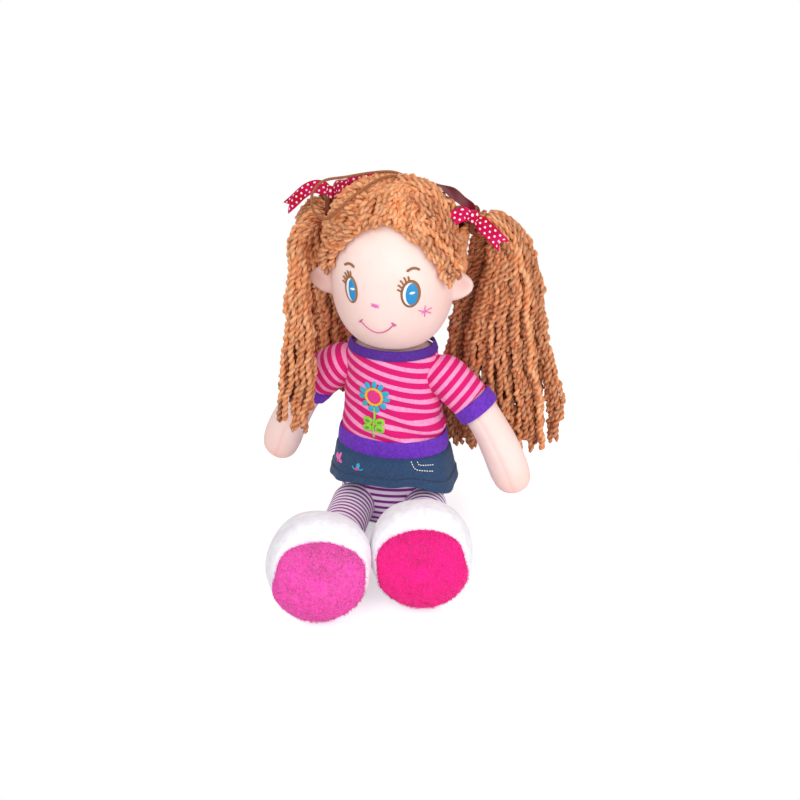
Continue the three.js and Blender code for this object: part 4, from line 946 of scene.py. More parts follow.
turn, level = around(96)[None], np.linspace(-1, 1, 90)[:, None]
x, y, z = np.moveaxis(skull(turn, level, 0), -1, 0)
pucker = head_relief(x, z) + 0.25 * np.sin(turn * 26) * step(-0.8, -1, level)
cheeks = sum(np.exp(-((x - middle) ** 2 + (z + 17) ** 2) / 210) * (y < 0) for middle in CHEEKS)
edges = step(0.75, 1, np.abs(x) / HEAD_WIDE) + step(-0.4, -0.85, z / HEAD_HIGH)
# Pink on the face: real blush on the cheeks; pinker towards the sides and the chin, partly
# airbrushed and partly painted shade; less of it high up
blush = 0.06 + 0.16 * cheeks + 0.2 * edges - 0.1 * step(0, 20, z)
head = piece("head_cloth", skins(on_head(skull(turn, level, pucker)), blush=blush), finish=skin,
             body="head", stands_for=["head_skin", "head_stuffing"], slot="skin_cloth")

out, turn = np.linspace(-0.98, 0.999, 44)[:, None], around(40)[None]
wide = np.sqrt(1 - out**2) * (1 + 0.12 * np.sin(out * 3))
hollow = np.exp(-(((out - 0.75) / 0.2) ** 2 + (np.cos(turn) / 0.55) ** 2))
front = np.clip(-np.sin(turn), 0, 1) * hollow
seam = bell(np.sin(turn), 0.14)
for name, side, reach, forward in EARS:
    y = 6 * wide * np.sin(turn) - forward * np.clip(out + 0.3, 0, 1) + 2.2 * front
    z = 11.5 * wide * power(np.cos(turn), 0.85) - 9 - np.sign(np.cos(turn)) * 0.3 * seam
    flap = xyz(side * (30.5 + reach * out), y, z)
    # Pinker in the front hollow and along the seam: painted shade in the hollow and in the seam's
    # groove
    ear = piece(name + "_ear_cloth", skins(on_head(flap), blush=0.15 + 0.15 * seam + 0.3 * front),
                finish=skin, body="head", stands_for=[name + "_ear"], slot="skin_cloth")

low, high = (np.array(corner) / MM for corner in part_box("neck"))
share = np.linspace(0, 1, 12)
line = (low + high) / 2 + (share - 0.5)[:, None] * (0, 0, high[2] - low[2])
width = (high[0] - low[0]) / 2 * (1 - 0.06 * np.sin(share * np.pi))
neck = tubes(line, width, sides=40, reference=BACKWARD, blush=np.full(12, 0.05))
neck = piece("neck_cloth", neck, finish=skin, body="neck", stands_for=["neck"], slot="skin_cloth")


# Embroidery: raised thread on a surface, whose functions take a place across and up and a growth

FACE_WAY = on_head((0, -1.0, 0)) - on_head((0, 0, 0))
CHEST_WAY = on_chest((0, -1.0, 0))
PATCH_SHARES = np.array([0.05, 0.5, 1, 1, 0.93, 0.8, 0.6, 0.35, 0.06])[:, None]
PATCH_RISE = np.array([0, 0, 0, 0.55, 0.85, 1, 1.05, 1.08, 1.08])[:, None]


def patch(surface, outline, low, high, way=0.0, pitch=0.9):
    """A raised filled shape: its outline drawn in to its middle, flat below and domed above.

    It goes from a low growth to a high one. The stitches run across it at an angle, a pitch apart.
    """
    middle = outline.mean(0)
    across, up = (middle[i] + (outline[:, i] - middle[i]) * PATCH_SHARES for i in (0, 1))
    stitch = 2 * (across * math.cos(way) + up * math.sin(way)) / pitch
    return skins(surface(across, up, low + (high - low) * PATCH_RISE), stitch=stitch)


def oval(middle, half, tilt=0.0, count=44, pointed=1.0):
    """An ellipse's outline, tilted; pointed above 1 draws its ends to points."""
    angle = around(count)
    x, y = half[0] * np.cos(angle), half[1] * power(np.sin(angle), pointed)
    c, s = math.cos(tilt), math.sin(tilt)
    return np.stack([middle[0] + c * x - s * y, middle[1] + s * x + c * y], -1)


def satin_line(surface, path, width, growth, way, steps=40, pitch=0.8):
    """A raised line of thread along a flat path on a surface, rounded at its ends."""
    line = evenly(np.asarray(path, float), steps)
    run = run_of(line)
    size = width / 2 * round_ends(steps, run[-1], width / 2)
    lines = surface(line[:, 0], line[:, 1], growth - 0.25)
    return tubes(lines, size, sides=10, reference=way, flat=0.8, stitch=2 * run / pitch)


def face_lines(paths, width, growth, **settings):
    """Satin lines on the face, one for each path."""
    return [satin_line(on_face, path, width, growth, FACE_WAY, **settings) for path in paths]


def ring_patch(surface, middle, outer, inner, low, high):
    """A raised ring of 34 satin stitches that run outwards."""
    section, angle = around(12)[:, None], around(60)[None]
    reach = (outer + inner) / 2 + (outer - inner) / 2 * np.cos(section)
    growth = low + (high - low) * (0.5 + 0.5 * np.sin(section)) + 0 * angle
    spots = middle[0] + reach * np.cos(angle), middle[1] + reach * np.sin(angle)
    return torus(surface(*spots, growth), stitch=angle / (2 * np.pi) * 2 * 34)


def sewn(name, thread, *parts, body="head", slot=None, **settings):
    """A piece of embroidery in one thread. Its slot, named for the thread unless one is given, is
    not used.
    """
    piece(name, *parts, finish=threads[thread], body=body, slot=slot or thread, **settings)


# Each eye's middle across and up, half width, half height and tilt, and its side
EYES = [
    ("left", 19.8, -3.9, 5.8, 9.2, -0.02, 1), ("right", -20.2, -3.9, 4.5, 9.3, 0.07, -1),
]
LASHES = (100, 2.6), (118, 3.2), (136, 3.3), (153, 3.0), (168, 2.5)
for name, x, z, wide, high, tilt, side in EYES:
    lashes = []
    for turn, long in LASHES:
        a = math.radians(turn if side > 0 else turn - 6)
        root = np.array((x + wide * math.cos(a), z + high * math.sin(a)))
        lean = np.array((math.cos(a) * 0.8 - 0.1, math.sin(a) * 0.9 + 0.35))
        tip = root + long * 1.25 * lean / np.linalg.norm(lean)
        lashes.append([root, (root + tip) / 2 + (0.25, 0.1), tip])
    sewn(name + "_eye_outline", "brown_thread",
         patch(on_face, oval((x, z), (wide + 0.35, high + 0.4), tilt), -0.4, 0.75, way=0.6),
         *face_lines(lashes, 1.25, 0.55, steps=14), stands_for=[name + "_eye"])
    white_oval = oval((x, z), (wide - 0.8, high - 0.85), tilt)
    iris = oval((x + 0.75, z - 0.1), (wide - 1.7, high - 1.25), tilt)
    glint = oval((x + 1.3, z + 1.0), (2.0, 1.0), 0.12, pointed=1.5)
    sewn(name + "_eye_white", "white_thread", patch(on_face, white_oval, -0.4, 0.95, way=1.2))
    sewn(name + "_iris", "blue_thread", patch(on_face, iris, -0.4, 1.15, way=1.0, pitch=0.7))
    sewn(name + "_eye_highlight", "white_thread", patch(on_face, glint, -0.2, 1.45, pitch=0.6))
    middle = x + side * 1.4
    bend = [(middle - 3.9, 11.4), (middle - 1.2, 13.0), (middle + 1.4, 13.1), (middle + 4.0, 11.6)]
    sewn(name + "_brow_stitches", "brown_thread", *face_lines([bend], 1.75, 0.6),
         stands_for=[name + "_brow"])

NOSE = (-3.2, -12.7)
WHISKERS = [
    [(-4.7, -11.4), (-6.2, -11.4)], [(-1.8, -13.3), (-0.3, -14.0)],
    [(-4.8, -12.8), (-6.3, -13.2)], [(-1.8, -11.9), (-0.5, -12.4)],
]
sewn("nose_stitches", "pink_thread",
     patch(on_face, oval(NOSE, (2.5, 1.35), -0.25, pointed=1.2), -0.3, 0.6, way=1.3, pitch=0.7),
     *face_lines(WHISKERS, 0.55, 0.5, steps=8), stands_for=["nose"])

share = np.linspace(-1, 1, 9)
smile = np.stack([-2.6 + 11.4 * share, -33.6 + 7.6 * np.abs(share) ** 1.9], -1)
# The crossed stitches at the ends of the smile: each one's middle and half its run
TICKS = [
    (-13.8, -25.3, 1.5, 1.1), (-14.2, -26.1, 1.1, 1.4),
    (8.9, -25.6, 1.7, -1.2), (8.4, -26.3, 1.2, -1.5),
]
ticks = [[(x - a, z - b), (x + a, z + b)] for x, z, a, b in TICKS]
sewn("mouth_stitches", "rose_thread", *face_lines([smile], 0.85, 0.5, steps=90, pitch=1.6),
     *face_lines(ticks, 0.8, 0.55, steps=10), slot="pink_thread", stands_for=["mouth"])

STAR = (28.2, -17.8)
STAR_RAYS = (84, 4.4), (20, 4.4), (-38, 4.4), (-98, 4.4), (158, 4.4), (-150, 2.6)


def star_ray(turn, long):
    """The path of one ray of the cheek's star, bent a little."""
    a = math.radians(turn)
    return [(STAR[0] + reach * math.cos(a + bend), STAR[1] + reach * math.sin(a + bend))
            for reach, bend in ((0, 0), (long / 2, 0.08), (long, 0))]


rays = face_lines([star_ray(*ray) for ray in STAR_RAYS], 0.85, 0.5, steps=14)
sewn("cheek_star_stitches", "pink_thread", *rays, stands_for=["cheek_star"])

FLOWER = np.array((-5.2, 103.0))
PETALS = 11
petals = []
for count in range(PETALS):
    a = math.radians(90 + count * 360 / PETALS + (count % 3 - 1) * 2)
    centre = FLOWER + np.array((math.cos(a), math.sin(a))) * 9.0
    petal = oval(centre, (2.7, 1.85 + 0.15 * (count % 2)), a, count=24, pointed=0.85)
    petals.append(patch(shirt_front, petal, 1.2, 2.35, way=a, pitch=0.8))
sewn("flower_petal_stitches", "turquoise_thread", *petals, body="torso", slot="turquoise_felt",
     stands_for=["flower_petals"])
sewn("flower_ring_stitches", "yellow_thread", ring_patch(shirt_front, FLOWER, 7.0, 5.0, 1.1, 2.7),
     body="torso", slot="yellow_felt", stands_for=["flower_ring"])
centre = patch(shirt_front, oval(FLOWER, (5.1, 5.1)), 1.1, 2.35, way=0.9, pitch=0.7)
sewn("flower_centre_stitches", "magenta_thread", centre, body="torso", stands_for=["flower_centre"])
stem = FLOWER[0] + 0.2
leaves, hearts = [], []
for side in (1, -1):
    for height, tilt in (84.6, 0.15), (79.4, -0.2):
        spot = np.array((stem + side * 4.4, height))
        leaf = oval(spot, (3.6, 2.7), side * tilt, count=28, pointed=0.75)
        heart = oval(spot, (2.0, 1.1), side * tilt, count=20)
        leaves.append(patch(shirt_front, leaf, 1.2, 2.2, way=1.57))
        hearts.append(patch(shirt_front, heart, 1.2, 2.5, way=1.57))
stem = [(stem, 95.5), (stem + 0.5, 88), (stem - 0.1, 80), (stem + 0.2, 72.6)]
stem = satin_line(shirt_front, stem, 1.5, 2.2, CHEST_WAY, steps=60, pitch=1.1)
sewn("flower_leaf_stitches", "green_thread", stem, *leaves, body="torso",
     stands_for=["flower_stem"])
sewn("flower_leaf_hearts", "dark_green_thread", *hearts, body="torso", slot="green_thread")

POCKET_LINES = [(-8.8, -1.5), (-4.6, -7.8), (9.0, -8.6)], [(-4.0, -2.0), (-1.8, -4.7), (9.0, -5.0)]
pocket = [stitches(skirt_patch(34), path, 1.9, 2.2) for path in POCKET_LINES]
sewn("pocket_stitches", "white_thread", *pocket, body="torso", stands_for=["pocket_stitch"])
place = skirt_patch(-58)
WINGS = [
    ((-3.0, -6.2), (2.6, 1.4), 2.4), ((0.6, -5.4), (2.7, 1.2), 1.35),
    ((2.6, -8.4), (2.3, 0.8), -0.4),
]
wings = [patch(place, oval(*wing), 1.0, 2.2, way=1.0) for wing in WINGS]
sewn("pink_motif_stitches", "pink_thread", *wings, body="torso", stands_for=["pink_motif"])
heart = patch(place, oval((0.2, -8.6), (1.9, 1.0), 0.1), 1.0, 2.4, pitch=0.6)
sewn("pink_motif_heart", "magenta_thread", heart, body="torso")
place = skirt_patch(-30)
CURLS = [(-0.6, -9.8), (-2.6, -10.2), (-4.6, -8.4)], [(0.8, -9.8), (3.0, -10.4), (5.0, -9.2)]
curls = [satin_line(place, curl, 1.0, 2.1, CHEST_WAY, steps=20) for curl in CURLS]
bud = patch(place, oval((0.2, -7.6), (1.5, 1.9), 0.1), 1.0, 2.2)
sewn("blue_motif_stitches", "turquoise_thread", bud, *curls, body="torso", slot="blue_thread",
     stands_for=["blue_motif"])
heart = patch(place, oval((0.0, -10.0), (1.5, 1.3), 0.2), 1.0, 2.5, pitch=0.6)
sewn("blue_motif_heart", "magenta_thread", heart, body="torso")


# Yarn hair

YARN = 2.15
YARN_TURN = 10.0
GOLDEN_TURN = 2.399963
TIES = {"left": (1, np.array((54, 10, 225.0))), "right": (-1, np.array((-47, 10, 228.0)))}
# Turns of the strands that leave the parting, as parting() counts them: a cover and some over it
COVER_TURNS, RAISED_TURNS = np.linspace(54, 212, 38), np.linspace(60, 190, 14)
# Each half of the fringe: its side, how much each layer stands out, its least and greatest reach,
# and the size of its curls and the angle, in radians, that they wind through
FRINGE_COUNT = 26
FRINGE = (-1, 2.1, 0.74, 0.92, 1.6, 11), (1, 3.0, 0.76, 0.95, 3.2, 16)


def yarn(lines, draws, thick=YARN, deep=0.0, **reference):
    """Two-ply yarn along lines, (strands, steps, 3), whose section has two lobes.

    They turn once every YARN_TURN, and it swings off the line with them. "hollow" is a painted
    shade:
    high between the plies, more so on deep strands, and a little different from strand to strand.
    """
    run, angle = run_of(lines), around(8)
    spin = run / YARN_TURN * 2 * np.pi + draws.uniform(0, 2 * np.pi, (len(lines), 1))
    spin = spin[..., None]
    lobes = np.cos(2 * (angle - spin))
    from_end = np.minimum(run, run[:, -1:] - run)
    ends = np.sqrt(np.clip(from_end / 2.0, 0.03, 1))[..., None]
    thick = np.asarray(thick, float)
    thick = thick[..., None] if thick.ndim else thick
    radius = thick * ends * (0.87 + 0.3 * lobes + 0.15 * np.cos(angle - spin))
    # Painted shade: a little at random for each strand, more on deep strands, and most between the
    # plies
    shade = draws.uniform(-0.12, 0.18, (len(lines), 1, 1)) + np.reshape(deep, (-1, 1, 1))
    hollow = 0.45 * (1 - lobes) / 2 * np.abs(np.sin(angle - spin + 0.6)) + shade + 0.15
    return tubes(lines, radius, sides=8, hollow=hollow, **reference)


def scalp_yarn(lines, draws, **settings):
    """Yarn that lies on the head, its section turned to face away from it."""
    return yarn(lines, draws, reference=unit(lines - on_head((0, 0, 0))), **settings)


def wander(lines, draws, size, length):
    """The lines, each swaying in its own way by up to a size over a length."""
    run = run_of(lines)[..., None]
    phase = draws.uniform(0, 2 * np.pi, (2, len(lines), 1, 3))
    pace = draws.uniform(0.7, 1.3, (len(lines), 1, 3))
    sway = np.sin(run / length * 2 * np.pi * pace + phase[0])
    sway = sway + 0.6 * np.sin(run / length * 4.6 * np.pi * pace + phase[1])
    return lines + size * sway * np.clip(run / length, 0, 1)


def arcs(starts, ends, share):
    """Great-circle arcs between unit directions: (n, steps, 3)."""
    starts, ends = unit(starts)[:, None], unit(ends)[:, None]
    angle = np.arccos(np.clip((starts * ends).sum(-1, keepdims=True), -1, 1))
    share = share[None, :, None]
    return (np.sin((1 - share) * angle) * starts + np.sin(share * angle) * ends) / np.sin(angle)


def on_scalp(ways, growth):
    """The head's surface in given directions, measured in its own half sizes, plus a growth."""
    exponent = head_powers(ways[..., 2])
    flat = np.hypot(ways[..., 0], ways[..., 1])
    reach = (flat**exponent + np.abs(ways[..., 2]) ** exponent) ** (-1 / exponent)
    return ways * reach[..., None] * (HEAD_HALVES + np.asarray(growth, float)[..., None])


def parting(turn):
    """Directions over the head's middle: 50 degrees is the hairline, 90 the crown, 214 the nape."""
    a = np.radians(turn)
    return xyz(0.02, -np.cos(a), np.sin(a))


def in_head(point):
    """A point of the chest's frame, in the head's."""
    return turned(point - HEAD_PLACE, -HEAD_TURN)


# Strands from the parting, the nape and the temple to each tie. Some of the first lie on the rest
for name, (side, tie) in TIES.items():
    draws = np.random.default_rng(50 + side)
    target = in_head(tie)
    goal = unit(target / HEAD_HALVES)
    a = np.radians(np.linspace(8, 80, 12))
    nape = xyz(side * np.sin(a) * 0.86, np.cos(a) * 0.86, -0.55 + 0.3 * (a / 1.4) ** 2)
    share = np.linspace(0, 1, 12)
    temple = xyz(side * 0.9, -0.5 + 0.72 * share, 0.34 - 0.5 * share)
    crown = parting(np.concatenate([COVER_TURNS, RAISED_TURNS]))
    starts = np.concatenate([crown, nape, temple])
    count, share = len(starts), np.linspace(0, 1, 76)
    counts = len(COVER_TURNS), len(RAISED_TURNS), len(nape) + len(temple)
    raised = np.repeat([0, 2.6, 0], counts) + draws.uniform(-0.5, 0.8, count)
    growth = 2.2 + raised[:, None] + 2.4 * np.sin(share * np.pi) ** 0.7
    lines = on_scalp(arcs(starts, goal[None], share * 0.94), growth)
    arrive = unit((starts - goal)[:, [1, 2]]) * draws.uniform(2.5, 6.2, (count, 1))
    entry = target + xyz(-side * 2.5, arrive[:, 0], arrive[:, 1])
    weight = step(0.66, 1, share)[None, :, None]
    lines = wander(on_head(lines * (1 - weight) + entry[:, None] * weight), draws, 0.5, 24)
    thick = YARN * (1.04 - 0.3 * step(0.7, 1, share))[None]
    piece(name + "_hair_strands", scalp_yarn(lines, draws, thick=thick), finish=yarn_finish,
          body="head", stands_for=["hair_cap"], slot="hair_yarn")

# A dark sheet under the strands: painted shade in the gaps between them
turn, level = around(72)[None], np.linspace(0.02, 1, 30)[:, None]
front, rear = np.clip(-np.sin(turn), 0, 1), np.clip(np.sin(turn), 0, 1)
edge = np.where(np.sin(turn) < 0, -0.16 + 0.96 * front**0.77, -0.16 - 0.40 * rear**0.5)
height = 0.995 - (0.995 - edge) * level
flat = np.sqrt(1 - height**2)
ways = xyz(np.cos(turn) * flat, np.sin(turn) * flat, height)
walls = [on_scalp(ways, 1.9 - 1.4 * (level > 0.985)), on_scalp(ways, 0.2)[::-1]]
piece("hair_shade_cloth", skins(on_head(np.concatenate(walls))), finish=shade_backing_finish,
      body="head", slot="hair_yarn")

draws = np.random.default_rng(71)
families = []
row, layer = (np.arange(FRINGE_COUNT) % 9) / 8, np.arange(FRINGE_COUNT) // 9
share, each = np.linspace(0, 1, 84)[None], (FRINGE_COUNT, 1)
for side, lift, least, greatest, curl, winding in FRINGE:
    starts = parting(45 + 34 * row) + (side * 0.02, 0, 0)
    ends = xyz(side * 0.97, -0.34 + 0.46 * row, -0.15 + 0.55 * row + 0.05 * layer)
    swell = 2.4 + lift * layer[:, None] * step(0, 0.4, share) + 2.0 * np.sin(share * np.pi) ** 0.8
    swell = swell + draws.uniform(-0.5, 0.9, each)
    cutoff = draws.uniform(least, greatest, each)
    base = arcs(starts, ends, np.linspace(0, 1.04, 300))
    index = np.clip(share * cutoff / 1.04 * 299, 0, 299).astype(int)
    ways = np.take_along_axis(base, index[..., None], 1)
    lines = on_head(on_scalp(unit(ways), swell))
    spin = share * winding + draws.uniform(0, 2 * np.pi, each)
    curl = curl * step(0.62, 1, share)
    curls = xyz(curl * np.cos(spin) * 0.6, -curl * 0.4, curl * np.sin(spin))
    families.append(scalp_yarn(wander(lines, draws, 0.7, 20) + curls, draws))
# Short strands that fall from the parting over the middle of the forehead
count, share = 16, np.linspace(0, 1, 44)
x = np.linspace(-0.2, 0.42, count) + draws.uniform(-0.02, 0.02, count)
starts = xyz(x * 0.6 + 0.02, -0.2, 0.97)
fall = 0.63 - 0.5 * np.abs(x - 0.05) ** 1.3 + draws.uniform(-0.02, 0.03, count)
ends = xyz(x * 1.35, -0.76, fall)
swell = 4.6 + 4.2 * np.sin(share * np.pi * 0.8)[None] + draws.uniform(-0.6, 1.2, (count, 1))
lines = wander(on_head(on_scalp(unit(arcs(starts, ends, share)), swell)), draws, 0.8, 16)
families.append(scalp_yarn(lines, draws))
piece("fringe_strands", *families, finish=yarn_finish, body="head", stands_for=["fringe"],
      slot="hair_yarn")


# The bunches. For each: its tie, the body that it moves with, its spans down, out and back, its
# strands and the spare ones among them, the places where its bend starts and ends, from the tie,
# and rows of its middle's place (out, back, down) and its section's half sizes, all in spans

TAILS = {
    "left_tail": ("left", "left_tail", (193, 53, 20), 88, 20, ((3, 0, -1), (12, 0, -14)), [
        (0.1, 0.2, 0, 0.13, 0.36), (0.28, 0.5, 0.035, 0.2, 0.6), (0.4, 0.85, 0.13, 0.3, 0.78),
        (0.42, 1.1, 0.27, 0.42, 0.82), (0.38, 1.25, 0.42, 0.54, 0.84),
        (0.38, 1.4, 0.56, 0.64, 0.84), (0.42, 1.5, 0.7, 0.76, 0.84), (0.46, 1.6, 0.84, 0.76, 0.8),
        (0.48, 1.65, 0.97, 0.66, 0.72)]),
    "right_tail": ("right", "right_tail", (160, 40, 17), 68, 12, ((-3, 0, -1), (-12, 0, -14)), [
        (0.1, 0.3, 0.03, 0.14, 0.38), (0.38, 0.7, 0.07, 0.28, 0.6), (0.5, 1.05, 0.16, 0.36, 0.82),
        (0.5, 1.35, 0.32, 0.44, 0.88), (0.46, 1.5, 0.5, 0.54, 0.9), (0.46, 1.6, 0.68, 0.62, 0.9),
        (0.5, 1.7, 0.84, 0.66, 0.86), (0.52, 1.75, 0.97, 0.6, 0.8)]),
    "right_front_lock": (
        "right", "right_lock", (160, 30, 11), 17, 0, ((-3, -8, -4), (-10, -28, -14)), [
            (0.04, -0.66, 0.045, 0.1, 0.24), (0.34, -1.2, 0.055, 0.18, 0.34),
            (0.46, -2.4, 0.12, 0.19, 0.7), (0.38, -3.3, 0.25, 0.2, 0.9),
            (0.34, -3.72, 0.4, 0.27, 1), (0.34, -3.85, 0.56, 0.37, 1), (0.4, -3.9, 0.72, 0.48, 1),
            (0.54, -3.9, 0.87, 0.52, 0.96), (0.6, -3.9, 0.98, 0.46, 0.85)]),
}
STEP_LENGTH = 1.4


def tail_lines(side, tie, spans, rows, count, spare, draws):
    """Strands of a bunch: each keeps its place in the section while that moves, widens and falls.

    The places fill a disc, closer together towards its edge, and the ends are ragged. The spare
    strands hang on the side towards the neck, behind the shoulder. With the lines come how far
    each strand is from the bunch's middle, and the share of the bunch's length at each point.
    """
    down, out, back = spans
    order = np.arange(count) + 0.5
    reach, angle = np.minimum(order / (count - spare), 1) ** 0.38 * 0.95, order * GOLDEN_TURN
    inner = np.arange(count) >= count - spare
    u = np.where(inner, side * draws.uniform(0.95, 1.4, count), reach * np.cos(angle))
    v = np.where(inner, draws.uniform(0.2, 0.9, count), reach * np.sin(angle))
    ragged = draws.uniform(0.89, 1.0, (count, 1)) - 0.09 * np.clip(-side * u, 0, 1)[:, None]
    share = np.linspace(0, 1, int(down / STEP_LENGTH))[None] * ragged
    fine = smooth_rows(rows, np.linspace(0, len(rows) - 1, 600))
    centre = tie + np.stack([side * out * fine[:, 0], back * fine[:, 1], -down * fine[:, 2]], -1)
    run = run_of(centre)
    at = np.searchsorted(run / run[-1], np.clip(share, 0, 0.9995))
    across = unit(np.cross(BACKWARD, unit(np.gradient(centre, axis=0))))
    twist = 0.5 * share * draws.uniform(-1, 1, (count, 1))
    uu = u[:, None] * np.cos(twist) - v[:, None] * np.sin(twist)
    vv = u[:, None] * np.sin(twist) + v[:, None] * np.cos(twist)
    lines = centre[at] + across[at] * (uu * out * fine[at, 3])[..., None]
    lines = lines + BACKWARD * (vv * back * fine[at, 4])[..., None]
    inward = (inner * draws.uniform(1, 10.5, count))[:, None] * step(0.02, 0.13, share)
    lines[..., 0] -= side * inward * (1 - 0.95 * step(0.3, 0.66, share))
    return on_chest(wander(lines, draws, 0.9, 30)), np.where(inner, 0.45, reach), share


for seed, (name, tail) in enumerate(TAILS.items()):
    tie_name, child, spans, count, spare, bend, rows = tail
    side, tie = TIES[tie_name]
    draws = np.random.default_rng(90 + seed)
    lines, reach, share = tail_lines(side, tie, spans, rows, count, spare, draws)
    lines = resting(lines, YARN)
    thick = YARN * (0.62 + 0.38 * step(0.0, 0.22, share))
    # Strands nearer the bunch's middle, and the spare ones, get more painted shade
    strands = yarn(lines, draws, thick, 0.4 * (1 - reach), reference=(0.3, 1.0, 0.1))
    strands = piece(name + "_strands", strands, finish=yarn_finish, stands_for=[name],
                    slot="hair_yarn")
    start, end = (on_chest(tie + offset) * MM for offset in bend)
    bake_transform(strands)

ROOT_COUNT = 26
TIE_RADIUS, TIE_THICK, TIE_HALF = 8.2, 1.7, 1.9
for name, (side, tie) in TIES.items():
    draws = np.random.default_rng(130 + side)
    order = np.arange(ROOT_COUNT) + 0.5
    reach, angle = ((order / ROOT_COUNT) ** 0.5)[:, None], (order * GOLDEN_TURN)[:, None]
    out = np.linspace(-6.5, 8.0, 16)
    width = 4.6 + 2.2 * (out / 7) ** 2
    lines = tie + xyz(side * out, reach * np.cos(angle) * width, reach * np.sin(angle) * width)
    # The roots at the tie get a little painted shade
    roots = yarn(on_chest(lines), draws, 1.5, 0.15, reference=(0, 1.0, 0.2))
    piece(name + "_bunch_root_strands", roots, finish=yarn_finish, body=name + "_bunch",
          stands_for=[name + "_bunch_root"], slot="hair_yarn")
    section, turn = around(10)[:, None], around(60)[None]
    reach = TIE_RADIUS + TIE_THICK * np.cos(section) + 0.12 * np.sin(turn * 24)
    ring = tie + xyz(TIE_HALF * np.sin(section), reach * np.cos(turn), reach * np.sin(turn))
    piece(name + "_tie_elastic", torus(on_chest(ring)), finish=elastic, body=name + "_bunch",
          stands_for=[name + "_tie"], slot="brown_cord")


# Ribbon bows. For each: its knot, and then each strip's further points and the way it faces, from
# the tie and in centimetres

RIBBON = 10.0
DOT_GAP, LANE_GAP = 4.3, 3.1
KNOT_WIDE, KNOT_DEEP, KNOT_HIGH = 3.7, 3.4, 4.4
BOWS = {
    "left": ((0.25, -1.2, 0.6), [
        ("over", [(-0.2, -1, 1.2), (-1.0, -0.3, 1.5), (-2.3, 0.8, 1.75), (-3.55, 1.5, 1.7),
                  (-4.7, 2.1, 1.5)], (0, 0, -1)),
        ("loop", [(-0.3, -1.8, 0.9), (-0.9, -2.2, 0.6)], (0, -1, 0.6)),
        ("tail", [(1.6, -1.6, -0.3), (2.5, -1.8, -1.05)], (0, -1, 0.3))]),
    "right": ((0.25, -0.6, 0.9), [
        ("over", [(0.8, -0.2, 1.15), (1.6, 0.5, 1.35), (2.4, 1.0, 1.5), (3.5, 1.4, 1.5)],
         (0, -1, 0.5)),
        ("loop", [(0.8, -1.0, 1.45), (1.6, -1.5, 1.6)], (0, -1, 0.7)),
        ("tail", [(-0.85, -0.7, 1.25), (-2.0, -0.8, 0.6), (-3.1, -0.8, -0.45)], (0, -1, 0.9))]),
}


def ribbon(points, facing, notched):
    """A satin strip along a line, and its length: flat across, a little cupped and rippled.

    Rows of dots are printed on its face. Where it is notched, its end is cut to a swallowtail.
    """
    line = evenly(points, 150)
    along = unit(np.gradient(line, axis=0))
    across = unit(np.cross(along, facing))
    normal = np.cross(across, along)
    run, place = run_of(line)[:, None], np.linspace(-1, 1, 27)
    half = RIBBON / 2 * (0.35 + 0.65 * step(0, 7, run))
    cup = 0.7 * (1 - place**2) + 0.5 * np.sin(place * 3 + run / 4) * step(0, 6, run)
    cut = notched * (1 - np.abs(place)) * -4.0 * step(run[-1] - 6, run[-1], run)
    outside = line[:, None] + across[:, None] * (half * place)[..., None]
    outside = outside + normal[:, None] * cup[..., None] + along[:, None] * cut[..., None]
    lane = np.round(place * RIBBON / 2 / LANE_GAP)
    nearest = np.abs((run + lane % 2 * DOT_GAP / 2) % DOT_GAP - DOT_GAP / 2)
    dot = step(1.0, 0.5, np.hypot(nearest, place * RIBBON / 2 - lane * LANE_GAP))
    inside = outside - normal[:, None] * 0.35
    strip = panel(on_chest(outside), on_chest(inside), dot=dot, back=0 * dot)
    # The strip's back is marked to be painted darker, a painted shade
    strip[3]["dot"][dot.size:], strip[3]["back"][dot.size:] = 0, 1
    return strip, run[-1, 0]


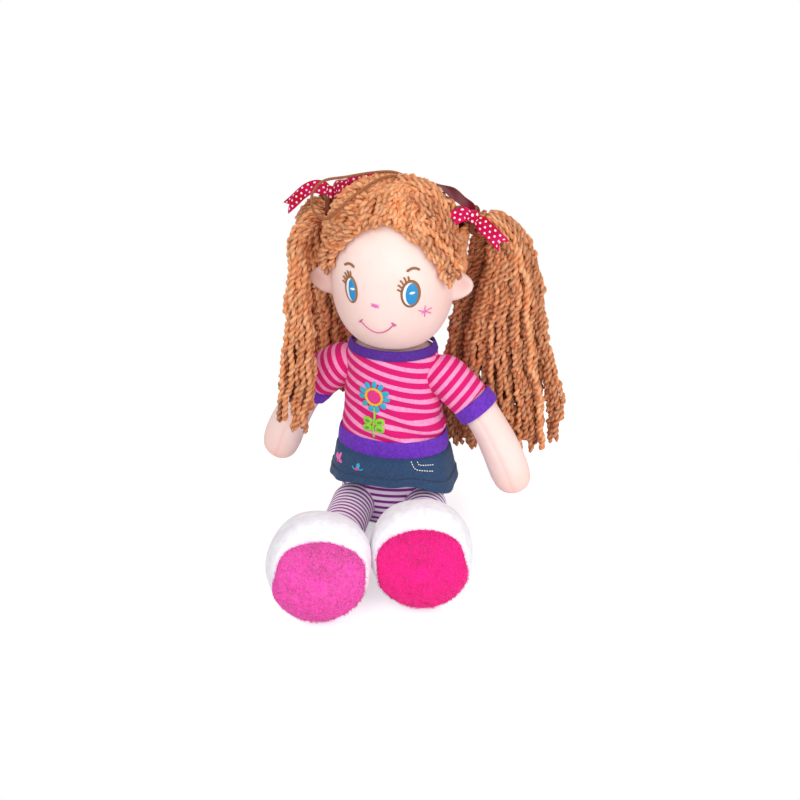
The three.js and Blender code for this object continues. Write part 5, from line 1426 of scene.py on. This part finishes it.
for name, (knot, strips) in BOWS.items():
    tie = TIES[name][1]
    for label, points, facing in strips:
        strip, length = ribbon(tie + 10 * np.array([knot, *points]), facing, label != "loop")
        bow = piece(f"{name}_bow_{label}", strip, finish=satin, body=name + "_bunch",
                    stands_for=[name + "_bow"], slot="dotted_ribbon")
    level, turn = np.linspace(-0.97, 0.97, 24)[:, None], around(40)[None]
    size = np.sqrt(1 - level**2) ** 0.6
    crease = 0.3 * np.sin(turn * 9) * size
    crumpled = xyz((KNOT_WIDE * size + crease) * np.cos(turn),
                   (KNOT_DEEP * size + crease) * np.sin(turn),
                   KNOT_HIGH * level + 0.3 * np.cos(turn * 2))
    # Six lanes of dots round the knot, 3.87 apart
    beside = turn * KNOT_WIDE % 3.87 - 1.93
    above = (level * KNOT_HIGH + 2 * DOT_GAP) % DOT_GAP - DOT_GAP / 2
    crumpled = skins(on_chest(tie + 10 * np.array(knot) + crumpled),
                     dot=step(1.25, 0.75, np.hypot(beside, above)))
    piece(name + "_bow_knot", crumpled, finish=satin, body=name + "_bunch", slot="dotted_ribbon")


# The floor: a pale round of it, which fades out under the white studio

FLOOR_HALF = 0.4
FLOOR_GLOW = 0.4
floor_finish = bpy.data.materials.new("studio_floor")
tree = bare_tree(floor_finish)
place = add(tree, "TexCoord").outputs["Object"]
mottle = add(tree, "TexNoise", {"Vector": place, "Scale": per(60)}).outputs["Fac"]
tint = {0: mottle, 6: linear("#f4f4f6"), 7: linear("#fbfbfb")}
tint = add(tree, "Mix", tint, data_type="RGBA").outputs[2]
surface = add(tree, "BsdfPrincipled", {"Base Color": tint, "Roughness": 0.9}).outputs[0]
glow = add(tree, "Emission", {"Color": WHITE, "Strength": FLOOR_GLOW}).outputs[0]
lit = add(tree, "AddShader", {0: surface, 1: glow}).outputs[0]
near = add(tree, "MixShader", {0: in_plain_sight(tree), 1: surface, 2: lit}).outputs[0]
away = add(tree, "VectorMath", {0: place}, operation="LENGTH").outputs["Value"]
far = {"Value": away, "From Min": 0.18, "From Max": 0.34}
far = add(tree, "MapRange", far, interpolation_type="SMOOTHSTEP").outputs[0]
clear = add(tree, "BsdfTransparent").outputs[0]
faded = add(tree, "MixShader", {0: far, 1: near, 2: clear}).outputs[0]
add(tree, "OutputMaterial", {"Surface": faded})
floor_data = bpy.data.meshes.new("floor")
corners = (-1, -1), (1, -1), (1, 1), (-1, 1)
corners = [(x * FLOOR_HALF, y * FLOOR_HALF, -0.0005) for x, y in corners]
floor_data.from_pydata(corners, [], [(0, 1, 2, 3)])
floor_data.materials.append(floor_finish)
linked("floor", floor_data)
